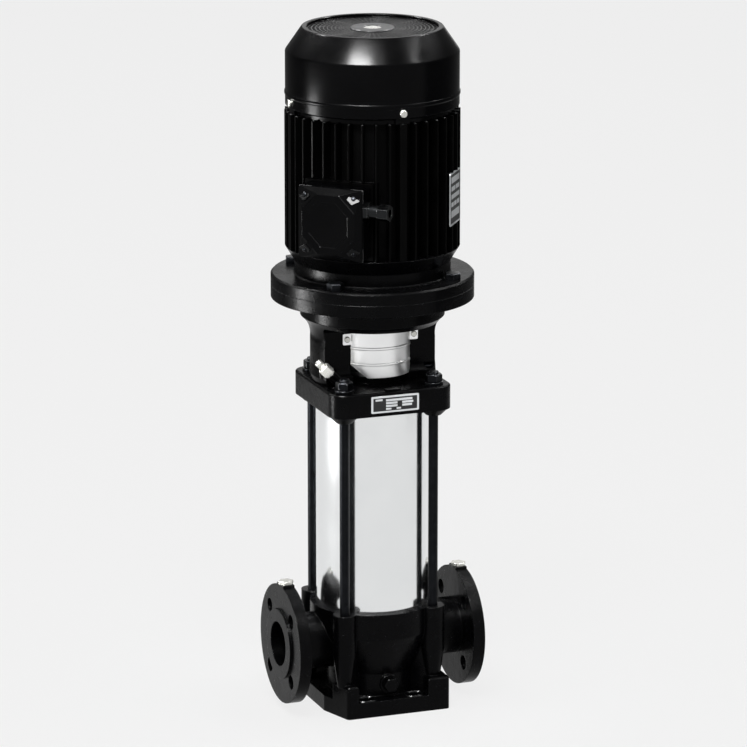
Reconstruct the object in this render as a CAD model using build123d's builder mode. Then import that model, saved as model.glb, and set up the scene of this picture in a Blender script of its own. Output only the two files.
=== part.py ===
"""Vertical multistage in-line pump with flange-mounted electric motor.

Units are millimetres and +Z is up.  The origin lies on the shaft axis at the underside of
the foot.  The suction flange faces -X, the discharge flange faces +X and the rating plate
of the pump faces -Y.
"""

import os
from math import cos, radians, sin

from build123d import *

# ----------------------------------------------------------------------------------------
# Fits and clearances
# ----------------------------------------------------------------------------------------
seat_gap = 0.1  # radial gap of a piece that is located in a bore
running_gap = 0.05  # radial gap between a turning shaft and its bush or race
stack_gap = 0.05  # axial gap between neighbours of one stack
air_gap = 0.6  # radial gap between rotor and stator
fuse_depth = 1.0  # depth by which forms of one casting run into each other
drill_run_out = 2.0  # extra depth of a blind hole beyond its screw

# ----------------------------------------------------------------------------------------
# Driving dimensions: ports and base
# ----------------------------------------------------------------------------------------
port_height = 84.0
port_reach = 125.0  # shaft axis to flange face
flange_radius = 75.0
flange_thickness = 18.0
raised_face_radius = 44.0
raised_face_height = 3.0
bolt_circle_radius = 55.0
flange_bolt_count = 4
suction_hole_radius = 9.0
discharge_hole_radius = 9.25
port_bore_radius = 28.0
port_bore_depth = 24.0
port_throat_radius = 21.5
port_wall = 7.5
gauge_pad_radius = 11.0
gauge_pad_height = 2.0
gauge_plug_radius = 5.5
gauge_plug_depth = 10.0
gauge_hex = 17.0
gauge_hex_height = 4.0

foot_half_width = 75.0
foot_half_depth = 76.0
foot_cut_width = 15.0
foot_cut_depth = 47.0
foot_thickness = 20.0
foot_corner_radius = 5.0
foot_recess = 96.0
foot_recess_depth = 8.0
post_inset = 46.0
post_height = 42.0
post_edge_radius = 4.0
anchor_x = 32.0
anchor_y = 64.0
anchor_hole_radius = 6.75
anchor_slot_length = 20.0
anchor_seat_radius = 11.5

bowl_foot_radius = 58.0
bowl_waist_height = 48.0
bowl_shoulder_height = 98.0
collar_radius = 78.0
collar_top = 131.0
channel_floor = 52.0
channel_inner_radius = 46.0
channel_floor_width = 4.0
suction_radius = 40.0
suction_floor = 50.0
suction_wall_top = 118.0
suction_throat_run_in = 5.0
sump_radius = 22.0
sump_floor = 28.0
drain_height = 36.0
drain_face = 62.0
drain_boss_radius = 12.0
drain_hole_radius = 5.0
drain_plug_depth = 9.0
drain_hex = 17.0
drain_hex_height = 8.0
drain_boss_root = 10.0
drain_drill_run_in = 5.0

# ----------------------------------------------------------------------------------------
# Driving dimensions: sleeve, tie rods, head
# ----------------------------------------------------------------------------------------
sleeve_radius = 70.5
sleeve_wall = 1.5
sleeve_engagement = 10.0
spigot_inner_radius = 62.0
spigot_height = 8.0
o_ring_section = 3.0
o_ring_squeeze = 0.1
o_ring_land = 2.0

rod_spacing = 116.4
rod_radius = 6.0
rod_boss_radius = 14.5
rod_boss_top = 132.0
rod_boss_waist = 76.0
rod_boss_foot_radius = 9.0
rod_thread_depth = 24.0
rod_tip_above_nut = 3.5
nut_hex = 19.0
nut_height = 10.0
washer_radius = 12.0
washer_thickness = 2.5

head_bottom = 386.0
head_height = 30.0
head_half_width = 79.0
head_corner_radius = 21.0
head_edge_radius = 2.5
head_lug_drop = 9.0
head_lug_end_radius = 10.0
head_ceiling = 14.0
head_lug_inset = 2.0
head_recess_depth = 2.0
rating_plate_width = 62.0
rating_plate_height = 21.0
rating_plate_thickness = 0.8
rating_plate_corner = 1.5

seal_tower_radius = 37.0
seal_tower_height = 8.0
seal_chamber_radius = 24.0
seal_cover_thickness = 6.0
seal_cover_lip = 6.0
seal_cover_inset = 2.0
seal_cover_chamfer = 0.8
seal_outer_radius = 17.0
seal_face_height = 6.0
seal_spring_height = 12.0
seal_spring_wire = 1.1
seal_spring_turns = 4
seal_spring_clearance = 3.0
seal_nose_width = 2.0
vent_x = -67.0
vent_y = -40.5
vent_hex = 13.0
vent_hex_height = 10.0
vent_plug_radius = 5.0
vent_plug_depth = 9.0
vent_screw_radius = 3.0
vent_screw_rise = 8.0
vent_screw_hex = 9.6

# ----------------------------------------------------------------------------------------
# Driving dimensions: hydraulics and shaft line of the pump
# ----------------------------------------------------------------------------------------
stage_count = 7
stage_pitch = 32.0
stage_start = 134.0
chamber_radius = 57.0
chamber_wall = 2.5
chamber_floor = 3.0
chamber_eye_radius = 24.5
guide_vane_count = 6
guide_vane_height = 7.0
guide_vane_thickness = 2.0
guide_vane_slant = 35.0
wear_ring_height = 5.0
wear_ring_lip = 2.0
impeller_radius = 46.0
impeller_lift = 11.5
impeller_floor_gap = 1.0
impeller_width = 9.0
impeller_shroud = 1.5
impeller_eye_radius = 22.0
impeller_blade_count = 6
impeller_blade_thickness = 1.6
impeller_blade_start = 3.0
impeller_rim_land = 1.0
blade_sweep = 48.0
hub_radius = 14.0
pump_shaft_radius = 10.0
pump_shaft_bottom = 86.0
shaft_edge = 1.0
stop_collar_width = 6.0
bush_wall = 4.0
bush_length = 24.0
bush_bottom = 90.0
spider_arm = 6.0
spider_count = 4
carrier_height = 8.0
lock_nut_hex = 27.0
lock_nut_height = 8.0
top_slot_length = 34.0
top_slot_height = 16.0

# ----------------------------------------------------------------------------------------
# Driving dimensions: motor stool, coupling, guards
# ----------------------------------------------------------------------------------------
stool_foot_thickness = 8.0
stool_foot_radius = 76.0
stool_leg_outer_radius = 77.0
stool_leg_inner_radius = 47.0
stool_leg_half_width = 27.0
stool_foot_half_width = 30.5
window_top = 490.0
window_corner_radius = 10.0
stool_neck_radius = 89.0
stool_neck_bottom = 497.0
stool_step_radius = 105.0
stool_step_bottom = 510.0
stool_top = 535.0
stool_top_thickness = 15.0
stool_bore_radius = 58.0
stool_mouth_radius = 78.0
stool_foot_flare = 2.0
stool_leg_start = 14.0
stool_arch_drop = 22.0
stool_arch_radius = 32.0
stool_step_rise = 5.0
stool_throat_rise = 16.0
stool_ceiling_rise = 6.0
stool_screw_x = 64.0
stool_screw_y = 18.0
stool_screw_radius = 5.0
stool_screw_hex = 16.0
stool_screw_head = 7.0
stool_screw_depth = 10.0
stool_screw_seat = 3.0

coupling_radius = 29.0
coupling_bottom = 437.0
coupling_top = 511.0
coupling_split = 1.2
coupling_edge = 1.5
coupling_screw_x = 20.5
coupling_screw_radius = 4.0
coupling_screw_head_radius = 6.5
coupling_screw_head = 8.0
coupling_screw_inset = 14.0
coupling_screw_socket = 1.3  # screw radius over socket radius
coupling_pin_radius = 2.5
coupling_pin_length = 36.0
coupling_pin_height = 466.0
shaft_end_gap = 6.0
pump_shaft_top = 474.0

guard_radius = 42.0
guard_sheet = 1.2
guard_wrap = 120.0  # degrees
guard_bottom = 425.5
guard_top = 486.0
guard_tab_reach = 48.5
guard_tab_bottom = 466.0
guard_tab_top = 480.0
guard_bead_rise = 1.0
guard_bead_width = 3.0
guard_beads = (443.0, 461.0)
guard_bead_inset = 3.0  # degrees
guard_screw_x = 43.5
guard_screw_radius = 2.0
guard_screw_head_radius = 3.8
guard_screw_head = 2.4
guard_screw_depth = 8.0

# ----------------------------------------------------------------------------------------
# Driving dimensions: motor
# ----------------------------------------------------------------------------------------
motor_flange_radius = 125.0
motor_flange_thickness = 15.0
motor_spigot_radius = 90.0
motor_spigot_height = 4.0
motor_bolt_edge = 17.5
motor_bolt_radius = 6.0
motor_bolt_hex = 18.0
motor_bolt_head = 8.0
motor_bolt_engagement = 13.0
shield_waist_radius = 96.0
shield_waist_top = 566.0
shield_top = 584.5
shield_register = 4.0
shield_wall = 6.0
shield_edge = 2.0
shield_root = 1.0
shield_shaft_gap = 2.0

barrel_radius = 92.0
barrel_wall = 11.5
fin_radius = 107.3
fin_count = 40
fin_root_thickness = 3.4
fin_tip_thickness = 2.2
rib_every = 10
rib_thickness = 9.0
rib_root = 2.0
box_pad_root = 12.0
plate_pad_root = 4.0
passage_run_in = 6.0
box_half_span = 23.0  # degrees
plate_half_span = 13.5  # degrees

stator_length = 130.0
stator_start = 600.0
frame_tail_room = 22.7  # from the stator to the end of the frame
rotor_radius = 48.0
winding_inner_radius = 56.0
winding_outer_radius = 73.0
winding_height = 12.0
motor_shaft_radius = 14.0
motor_journal_radius = 15.0
motor_journal_start = 545.0
fan_seat_radius = 12.0
motor_shaft_tail = 53.3
motor_shaft_edge = 1.0

drive_bearing = {"outer": 36.0, "width": 19.0, "ball": 6.2, "balls": 8, "bottom": 556.0}
tail_bearing_drop = 7.7
race_wall = 5.2
cage_half_width = 1.6
cage_wall = 1.4

tail_shield_radius = 100.0
tail_shield_thickness = 5.0
tail_housing_wall = 7.0
tail_cap_thickness = 3.0
tail_cap_gap = 0.5
tail_cap_clearance = 4.0
tail_lug_width = 18.0
tail_lug_height = 20.0
tail_lug_root = 8.0

cover_radius = 106.3
cover_sheet = 1.5
cover_lift = 7.3
cover_height = 94.6
cover_cone_height = 29.0
cover_inner_bend = 0.6
cover_top_radius = 86.5
cover_mouth_radius = 64.0
cover_well_depth = 5.0
cover_ledge = 3.0
cover_bead_rise = 1.0
cover_bead_width = 4.0
cover_bead_offset = 14.5
cover_screw_offset = 6.0
cover_screw_radius = 2.5
cover_screw_head_radius = 4.8
cover_screw_head = 3.0
cover_screw_depth = 9.0

grille_ring_count = 6
grille_ring_width = 2.4
grille_thickness = 2.0
grille_hub_radius = 18.0
grille_spoke_count = 8
grille_spoke_width = 3.0
grille_spoke_inset = 2.0

fan_lift = 26.3
fan_hub_radius = 20.0
fan_hub_height = 22.0
fan_radius = 80.0
fan_plate = 3.0
fan_blade_count = 7
fan_blade_height = 26.0
fan_blade_thickness = 2.5

box_angle = -135.0
box_width = 84.0
box_height = 88.0
box_centre = 633.5
box_wall = 4.0
box_corner = 3.0
passage_corner = 4.0
box_seat = 97.0
box_depth = 21.0
gland_offset = 14.0
pad_margin = 3.0
gasket_thickness = 1.5
gasket_inset = 1.0
lid_depth = 10.0
lid_bevel = 7.0
lid_corner_cut = 20.0
lid_wall = 2.5
lid_screw_radius = 2.0
lid_screw_head_radius = 4.0
lid_screw_head = 2.0
lid_screw_inset = 8.0
lid_screw_clearance = 1.0
board_width = 46.0
board_height = 34.0
board_thickness = 7.0
board_margin = 6.0
stud_radius = 2.5
stud_length = 7.0
gland_height = 651.0
gland_hex = 20.0
gland_hex_length = 6.0
gland_body_radius = 8.5
gland_body_length = 12.0
gland_cap_hex = 18.0
gland_cap_length = 14.0
gland_bore_radius = 5.0
gland_wall = 1.0

plate_angle = -37.0
plate_width = 46.0
plate_height = 66.0
plate_centre = 649.0
plate_seat = 104.2
plate_thickness = 0.8

# ----------------------------------------------------------------------------------------
# Sizes that follow from the driving dimensions
# ----------------------------------------------------------------------------------------
flange_back = port_reach - flange_thickness
flange_body = flange_thickness - raised_face_height
gauge_reach = flange_back + flange_body / 2
gauge_face = port_height + flange_radius + gauge_pad_height
sleeve_inner_radius = sleeve_radius - sleeve_wall
sleeve_bottom = collar_top - sleeve_engagement
sleeve_top = head_bottom + sleeve_engagement
spigot_radius = sleeve_inner_radius - 3 * seat_gap
head_top = head_bottom + head_height
head_ceiling_bottom = head_top - head_ceiling
rod_bottom = rod_boss_top - rod_thread_depth
nut_bottom = head_top + washer_thickness
rod_top = nut_bottom + nut_height + rod_tip_above_nut
seal_tower_top = head_top + seal_tower_height
seal_cover_top = seal_tower_top + seal_cover_thickness
stage_end = stage_start + stage_count * stage_pitch
stool_foot_top = head_top + stool_foot_thickness
motor_shaft_bottom = pump_shaft_top + shaft_end_gap
motor_flange_top = stool_top + motor_flange_thickness
spigot_recess_bottom = stool_top - motor_spigot_height - 5 * seat_gap
guard_screw_height = (guard_tab_bottom + guard_tab_top) / 2
motor_bolt_circle_radius = motor_flange_radius - motor_bolt_edge
barrel_inner_radius = barrel_radius - barrel_wall
stator_end = stator_start + stator_length
frame_top = stator_end + frame_tail_room
motor_shaft_top = frame_top + motor_shaft_tail
tail_bearing = {"outer": 31.0, "width": 16.0, "ball": 4.8, "balls": 9,
                "bottom": frame_top - tail_bearing_drop}
fan_bottom = frame_top + fan_lift
cover_bottom = frame_top + cover_lift
cover_top = cover_bottom + cover_height
cover_shoulder = cover_top - cover_cone_height
cover_bead_height = cover_bottom + cover_bead_offset
cover_screw_height = cover_bottom + cover_screw_offset
stator_inner_radius = rotor_radius + air_gap
cover_inner_radius = cover_radius - cover_sheet
grille_pitch = (cover_mouth_radius - grille_hub_radius) / grille_ring_count

os.makedirs("parts", exist_ok=True)


def keep(piece, name):
    """Label a finished piece and write it to its own STEP file."""
    piece.part.label = name
    export_step(piece.part, f"parts/{name}.step")


def half_section(points):
    """Return the closed face through (radius, height) points, ready to be turned about Z."""
    with BuildSketch(Plane.XZ) as section:
        with BuildLine():
            Polyline(*points, close=True)
        make_face()
    return section.sketch


def ring_section(inner, outer, bottom, top):
    """Return the half section of a plain ring between two radii and two heights."""
    return half_section([(inner, bottom), (outer, bottom), (outer, top), (inner, top)])


def hex_bolt(hex_size, head_height, shank_radius, shank_length):
    """Return a hexagon bolt whose head stands on the local XY plane, shank pointing down."""
    with BuildPart() as bolt:
        with BuildSketch():
            RegularPolygon(hex_size / 2, 6, major_radius=False)
        extrude(amount=head_height)
        chamfer(bolt.edges().group_by(Axis.Z)[-1], head_height / 8)
        with BuildSketch():
            Circle(shank_radius)
        extrude(amount=-shank_length)
    return bolt.part


def pan_screw(head_radius, head_height, shank_radius, shank_length):
    """Return a pan-head screw whose head stands on the local XY plane, shank pointing down."""
    with BuildPart() as screw:
        with BuildSketch():
            Circle(head_radius)
        extrude(amount=head_height)
        fillet(screw.edges().group_by(Axis.Z)[-1], head_height / 2)
        with BuildSketch():
            Circle(shank_radius)
        extrude(amount=-shank_length)
    return screw.part


def radial_plane(angle, reach, height):
    """Return a plane that faces outward at an angle about Z, with its local Y pointing up."""
    outward = Vector(cos(radians(angle)), sin(radians(angle)), 0)
    sideways = Vector(-sin(radians(angle)), cos(radians(angle)), 0)
    return Plane(origin=outward * reach + Vector(0, 0, height), x_dir=sideways, z_dir=outward)


rod_grid = GridLocations(rod_spacing, rod_spacing, 2, 2)

# ----------------------------------------------------------------------------------------
# Pump base: foot, corner posts, bowl, suction and discharge passages, two flanges
# ----------------------------------------------------------------------------------------
with BuildPart() as pump_base:
    with BuildSketch() as foot_outline:
        with BuildLine():
            Polyline(
                (foot_half_width, -foot_half_depth),
                (foot_half_width, foot_half_depth - foot_cut_depth),
                (foot_half_width - foot_cut_width, foot_half_depth),
                (-foot_half_width, foot_half_depth),
                (-foot_half_width, -foot_half_depth + foot_cut_depth),
                (-foot_half_width + foot_cut_width, -foot_half_depth),
                close=True,
            )
        make_face()
        fillet(foot_outline.vertices(), foot_corner_radius)
    extrude(amount=foot_thickness)
    with BuildSketch() as post_outline:
        add(foot_outline.sketch)
        Rectangle(2 * post_inset, 4 * foot_half_depth, mode=Mode.SUBTRACT)
        Rectangle(4 * foot_half_width, 2 * post_inset, mode=Mode.SUBTRACT)
    extrude(amount=post_height)
    fillet(pump_base.edges().group_by(Axis.Z)[-1], post_edge_radius)
    # Tie-rod bosses grow out of the corner posts.
    with BuildSketch(Plane.XY.offset(rod_boss_waist)):
        with rod_grid:
            Circle(rod_boss_radius)
    extrude(amount=rod_boss_top - rod_boss_waist)
    for x in (-rod_spacing / 2, rod_spacing / 2):
        for y in (-rod_spacing / 2, rod_spacing / 2):
            with BuildSketch(Plane.XY.offset(post_height - post_edge_radius)):
                with Locations((x, y)):
                    Circle(rod_boss_foot_radius)
            with BuildSketch(Plane.XY.offset(rod_boss_waist)):
                with Locations((x, y)):
                    Circle(rod_boss_radius)
            loft()
    # The bowl widens from the foot to the collar that takes the sleeve.
    revolve(
        half_section(
            [
                (0, 0),
                (bowl_foot_radius, 0),
                (bowl_foot_radius, bowl_waist_height),
                (collar_radius, bowl_shoulder_height),
                (collar_radius, collar_top),
                (0, collar_top),
            ]
        ),
        axis=Axis.Z,
    )
    # Necks and flanges of both ports.
    for side in (-1, 1):
        with BuildSketch(Plane.YZ.offset(side * suction_radius)):
            with Locations((0, port_height)):
                Circle(port_bore_radius + port_wall)
        extrude(amount=side * (flange_back - suction_radius))
        with BuildSketch(Plane.YZ.offset(side * flange_back)):
            with Locations((0, port_height)):
                Circle(flange_radius)
        extrude(amount=side * flange_body)
        with BuildSketch(Plane.YZ.offset(side * flange_back)):
            with Locations((0, port_height)):
                Circle(raised_face_radius)
        extrude(amount=side * flange_thickness)
        with BuildSketch(Plane.XY.offset(gauge_face)):
            with Locations((side * gauge_reach, 0)):
                Rectangle(flange_body, 2 * gauge_pad_radius)
        extrude(amount=-3 * gauge_pad_height)
    # Annular discharge channel around the suction chamber, open to the sleeve above.
    revolve(
        half_section(
            [
                (channel_inner_radius, channel_floor),
                (channel_inner_radius + channel_floor_width, channel_floor),
                (spigot_inner_radius, bowl_shoulder_height),
                (spigot_inner_radius, collar_top),
                (channel_inner_radius, collar_top),
            ]
        ),
        axis=Axis.Z,
        mode=Mode.SUBTRACT,
    )
    revolve(ring_section(0, channel_inner_radius + fuse_depth, suction_wall_top, collar_top),
            axis=Axis.Z, mode=Mode.SUBTRACT)
    # Suction pipe through the channel.
    with BuildSketch(Plane.YZ.offset(-suction_radius)):
        with Locations((0, port_height)):
            Circle(port_throat_radius + port_wall)
    extrude(amount=-(spigot_inner_radius - suction_radius))
    revolve(ring_section(0, suction_radius, suction_floor, collar_top),
            axis=Axis.Z, mode=Mode.SUBTRACT)
    revolve(ring_section(0, sump_radius, sump_floor, suction_floor),
            axis=Axis.Z, mode=Mode.SUBTRACT)
    # Seat of the sleeve: groove outside the spigot, O-ring groove in the spigot.
    revolve(ring_section(spigot_radius, sleeve_radius + 3 * seat_gap, sleeve_bottom, collar_top),
            axis=Axis.Z, mode=Mode.SUBTRACT)
    revolve(ring_section(spigot_inner_radius - fuse_depth, sleeve_radius,
                         sleeve_bottom + spigot_height, collar_top),
            axis=Axis.Z, mode=Mode.SUBTRACT)
    revolve(ring_section(spigot_radius - o_ring_section, spigot_radius + seat_gap,
                         sleeve_bottom + o_ring_land,
                         sleeve_bottom + o_ring_land + o_ring_section + 4 * seat_gap),
            axis=Axis.Z, mode=Mode.SUBTRACT)
    revolve(ring_section(spigot_inner_radius - fuse_depth, sleeve_radius + 3 * seat_gap,
                         collar_top, rod_boss_top), axis=Axis.Z, mode=Mode.SUBTRACT)
    # Port bores: wide mouth, narrower throat; the discharge throat ends in the channel.
    for side, throat_end, hole_radius in (
        (-1, suction_radius - suction_throat_run_in, suction_hole_radius),
        (1, channel_inner_radius + channel_floor_width, discharge_hole_radius),
    ):
        with BuildSketch(Plane.YZ.offset(side * port_reach)):
            with Locations((0, port_height)):
                Circle(port_bore_radius)
        extrude(amount=-side * port_bore_depth, mode=Mode.SUBTRACT)
        with BuildSketch(Plane.YZ.offset(side * port_reach)):
            with Locations((0, port_height)):
                Circle(port_throat_radius)
        extrude(amount=-side * (port_reach - throat_end), mode=Mode.SUBTRACT)
        with BuildSketch(Plane.YZ.offset(side * port_reach)):
            with Locations((0, port_height)):
                with PolarLocations(bolt_circle_radius, flange_bolt_count,
                                    start_angle=180 / flange_bolt_count):
                    Circle(hole_radius)
        extrude(amount=-side * flange_thickness, mode=Mode.SUBTRACT)
        with BuildSketch(Plane.XY.offset(gauge_face)):
            with Locations((side * gauge_reach, 0)):
                Circle(gauge_plug_radius + seat_gap)
        extrude(amount=-gauge_plug_depth - gauge_pad_height, mode=Mode.SUBTRACT)
    # Threaded holes of the tie rods.
    with BuildSketch(Plane.XY.offset(rod_boss_top)):
        with rod_grid:
            Circle(rod_radius + seat_gap)
    extrude(amount=-rod_thread_depth, mode=Mode.SUBTRACT)
    # Anchor slots with their washer seats, and the recess under the foot.
    with BuildSketch():
        with GridLocations(2 * anchor_x, 2 * anchor_y, 2, 2):
            SlotOverall(anchor_slot_length, 2 * anchor_hole_radius)
    extrude(amount=foot_thickness, mode=Mode.SUBTRACT)
    with BuildSketch(Plane.XY.offset(foot_thickness)):
        with GridLocations(2 * anchor_x, 2 * anchor_y, 2, 2):
            SlotOverall(anchor_slot_length + 2 * (anchor_seat_radius - anchor_hole_radius),
                        2 * anchor_seat_radius)
    extrude(amount=post_height - foot_thickness, mode=Mode.SUBTRACT)
    with BuildSketch():
        RectangleRounded(foot_recess, foot_recess, foot_corner_radius)
    extrude(amount=foot_recess_depth, mode=Mode.SUBTRACT)
    # Drain boss on the front, drilled into the sump.
    with BuildSketch(Plane.XZ.offset(bowl_foot_radius - drain_boss_root)):
        with Locations((0, drain_height)):
            Circle(drain_boss_radius)
    extrude(amount=drain_face - bowl_foot_radius + drain_boss_root)
    with BuildSketch(Plane.XZ.offset(drain_face)):
        with Locations((0, drain_height)):
            Circle(drain_hole_radius + seat_gap)
    extrude(amount=-(drain_face - sump_radius + drain_drill_run_in), mode=Mode.SUBTRACT)
keep(pump_base, "pump_base")

with BuildPart() as drain_plug:
    with Locations(Plane.XZ.offset(drain_face).location * Location((0, drain_height, 0))):
        add(hex_bolt(drain_hex, drain_hex_height, drain_hole_radius, drain_plug_depth))
keep(drain_plug, "drain_plug")

with BuildPart() as gauge_plugs:
    for side in (-1, 1):
        with Locations((side * gauge_reach, 0, gauge_face)):
            add(hex_bolt(gauge_hex, gauge_hex_height, gauge_plug_radius, gauge_plug_depth))
keep(gauge_plugs, "gauge_plugs")

# ----------------------------------------------------------------------------------------
# Sleeve, its two O-rings, tie rods with washers and nuts
# ----------------------------------------------------------------------------------------
with BuildPart() as outer_sleeve:
    revolve(ring_section(sleeve_inner_radius, sleeve_radius, sleeve_bottom, sleeve_top),
            axis=Axis.Z)
keep(outer_sleeve, "outer_sleeve")

o_ring_offset = o_ring_land + o_ring_section / 2 + 2 * seat_gap
with BuildPart() as sleeve_o_rings:
    for height in (sleeve_bottom + o_ring_offset, sleeve_top - o_ring_offset):
        with BuildSketch(Plane.XZ):
            with Locations((sleeve_inner_radius - o_ring_squeeze - o_ring_section / 2, height)):
                Circle(o_ring_section / 2)
        revolve(axis=Axis.Z)
keep(sleeve_o_rings, "sleeve_o_rings")

with BuildPart() as tie_rods:
    with BuildSketch(Plane.XY.offset(rod_bottom)):
        with rod_grid:
            Circle(rod_radius)
    extrude(amount=rod_top - rod_bottom)
    chamfer(tie_rods.edges().group_by(Axis.Z)[-1], rod_radius / 5)
keep(tie_rods, "tie_rods")

with BuildPart() as tie_rod_washers:
    with BuildSketch(Plane.XY.offset(head_top)):
        with rod_grid:
            Circle(washer_radius)
            Circle(rod_radius + 3 * seat_gap, mode=Mode.SUBTRACT)
    extrude(amount=washer_thickness)
keep(tie_rod_washers, "tie_rod_washers")

with BuildPart() as tie_rod_nuts:
    with BuildSketch(Plane.XY.offset(nut_bottom)):
        with rod_grid:
            RegularPolygon(nut_hex / 2, 6, major_radius=False)
            Circle(rod_radius + seat_gap, mode=Mode.SUBTRACT)
    extrude(amount=nut_height)
keep(tie_rod_nuts, "tie_rod_nuts")

# ----------------------------------------------------------------------------------------
# Pump head with sleeve seat, seal tower, plate and vent plug
# ----------------------------------------------------------------------------------------
with BuildPart() as pump_head:
    with BuildSketch(Plane.XY.offset(head_bottom)):
        RectangleRounded(2 * head_half_width, 2 * head_half_width, head_corner_radius)
    extrude(amount=head_height)
    fillet(pump_head.edges().group_by(Axis.Z)[-1], head_edge_radius)
    for x in (-rod_spacing / 2, rod_spacing / 2):
        for y in (-rod_spacing / 2, rod_spacing / 2):
            with BuildSketch(Plane.XY.offset(head_bottom)):
                with Locations((x, y)):
                    Circle(head_corner_radius - head_lug_inset)
            with BuildSketch(Plane.XY.offset(head_bottom - head_lug_drop)):
                with Locations((x, y)):
                    Circle(head_lug_end_radius)
            loft()
    with BuildSketch(Plane.XY.offset(head_top)):
        Circle(seal_tower_radius)
    extrude(amount=seal_tower_height)
    # Hollow side: clearance round the sleeve, sleeve groove, spigot and discharge cavity.
    revolve(ring_section(0, sleeve_radius + 3 * seat_gap, head_bottom - head_lug_drop,
                         head_bottom + head_recess_depth), axis=Axis.Z, mode=Mode.SUBTRACT)
    revolve(ring_section(0, spigot_inner_radius, head_bottom, head_ceiling_bottom),
            axis=Axis.Z, mode=Mode.SUBTRACT)
    revolve(ring_section(spigot_radius, sleeve_radius + 3 * seat_gap, head_bottom, sleeve_top),
            axis=Axis.Z, mode=Mode.SUBTRACT)
    revolve(ring_section(spigot_radius - o_ring_section, spigot_radius + seat_gap,
                         sleeve_top - o_ring_land - o_ring_section - 4 * seat_gap,
                         sleeve_top - o_ring_land),
            axis=Axis.Z, mode=Mode.SUBTRACT)
    revolve(ring_section(0, seal_chamber_radius, head_ceiling_bottom, seal_tower_top),
            axis=Axis.Z, mode=Mode.SUBTRACT)
    # Tie-rod holes, stool screw holes, vent hole, rivet holes of the plate.
    with BuildSketch(Plane.XY.offset(head_top)):
        with rod_grid:
            Circle(rod_radius + 6 * seat_gap)
    extrude(amount=-head_height - head_lug_drop, mode=Mode.SUBTRACT)
    with BuildSketch(Plane.XY.offset(head_top)):
        with GridLocations(2 * stool_screw_x, 2 * stool_screw_y, 2, 2):
            Circle(stool_screw_radius + seat_gap)
    extrude(amount=-stool_screw_depth - drill_run_out, mode=Mode.SUBTRACT)
    with BuildSketch(Plane.XY.offset(head_top)):
        with Locations((vent_x, vent_y)):
            Circle(vent_plug_radius + seat_gap)
    extrude(amount=-vent_plug_depth - drill_run_out, mode=Mode.SUBTRACT)
keep(pump_head, "pump_head")

with BuildPart() as rating_plate:
    with BuildSketch(Plane.XZ.offset(head_half_width)):
        with Locations((0, head_bottom + head_height / 2)):
            RectangleRounded(rating_plate_width, rating_plate_height, rating_plate_corner)
    extrude(amount=rating_plate_thickness)
keep(rating_plate, "rating_plate")

vent_body = hex_bolt(vent_hex, vent_hex_height, vent_plug_radius, vent_plug_depth)
with BuildPart() as vent_plug:
    with Locations((vent_x, vent_y, head_top)):
        add(vent_body)
    with BuildSketch(Plane.XY.offset(head_top + vent_hex_height)):
        with Locations((vent_x, vent_y)):
            Circle(vent_screw_radius + seat_gap)
    extrude(amount=-vent_hex_height, mode=Mode.SUBTRACT)
keep(vent_plug, "vent_plug")

with BuildPart() as vent_screw:
    with BuildSketch(Plane.XY.offset(head_top)):
        with Locations((vent_x, vent_y)):
            Circle(vent_screw_radius)
    extrude(amount=vent_hex_height + vent_screw_rise)
    with BuildSketch(Plane.XY.offset(head_top + vent_hex_height + stack_gap)):
        with Locations((vent_x, vent_y)):
            RegularPolygon(vent_screw_hex / 2, 6, major_radius=False)
    extrude(amount=vent_screw_rise)
keep(vent_screw, "vent_screw")

# ----------------------------------------------------------------------------------------
# Shaft seal under its cover
# ----------------------------------------------------------------------------------------
seal_seat_top = seal_tower_top
seal_seat_bottom = seal_seat_top - seal_face_height
seal_ring_bottom = seal_seat_bottom - seal_face_height
seal_spring_bottom = seal_ring_bottom - seal_spring_height

with BuildPart() as seal_cover:
    revolve(ring_section(pump_shaft_radius + 3 * seat_gap, seal_tower_radius - seal_cover_inset,
                         seal_tower_top, seal_cover_top), axis=Axis.Z)
    revolve(ring_section(seal_outer_radius + seat_gap, seal_chamber_radius - seat_gap,
                         seal_tower_top - seal_cover_lip, seal_tower_top), axis=Axis.Z)
    chamfer(seal_cover.edges().group_by(Axis.Z)[-1], seal_cover_chamfer)
keep(seal_cover, "seal_cover")

with BuildPart() as seal_seat:
    revolve(ring_section(pump_shaft_radius + 8 * seat_gap, seal_outer_radius,
                         seal_seat_bottom + running_gap, seal_seat_top), axis=Axis.Z)
keep(seal_seat, "seal_seat")

with BuildPart() as seal_ring:
    revolve(
        half_section(
            [
                (pump_shaft_radius + seat_gap, seal_ring_bottom),
                (seal_outer_radius, seal_ring_bottom),
                (seal_outer_radius, seal_ring_bottom + seal_face_height / 2),
                (seal_outer_radius - seal_nose_width, seal_seat_bottom),
                (pump_shaft_radius + seal_nose_width, seal_seat_bottom),
                (pump_shaft_radius + seat_gap, seal_seat_bottom - seal_nose_width / 2),
            ]
        ),
        axis=Axis.Z,
    )
keep(seal_ring, "seal_ring")

spring_radius = pump_shaft_radius + seal_spring_clearance
with BuildPart() as seal_spring:
    with BuildLine() as spring_path:
        Helix(
            pitch=(seal_spring_height - 2 * seal_spring_wire - 2 * seat_gap) / seal_spring_turns,
            height=seal_spring_height - 2 * seal_spring_wire - 2 * seat_gap,
            radius=spring_radius,
            center=(0, 0, seal_spring_bottom + seal_spring_wire + seat_gap),
        )
    with BuildSketch(Plane(origin=spring_path.line @ 0, z_dir=spring_path.line % 0)):
        Circle(seal_spring_wire)
    sweep()
keep(seal_spring, "seal_spring")

with BuildPart() as seal_driver:
    revolve(ring_section(pump_shaft_radius + seat_gap, seal_outer_radius,
                         seal_spring_bottom - seal_face_height / 2, seal_spring_bottom),
            axis=Axis.Z)
keep(seal_driver, "seal_driver")

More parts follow.
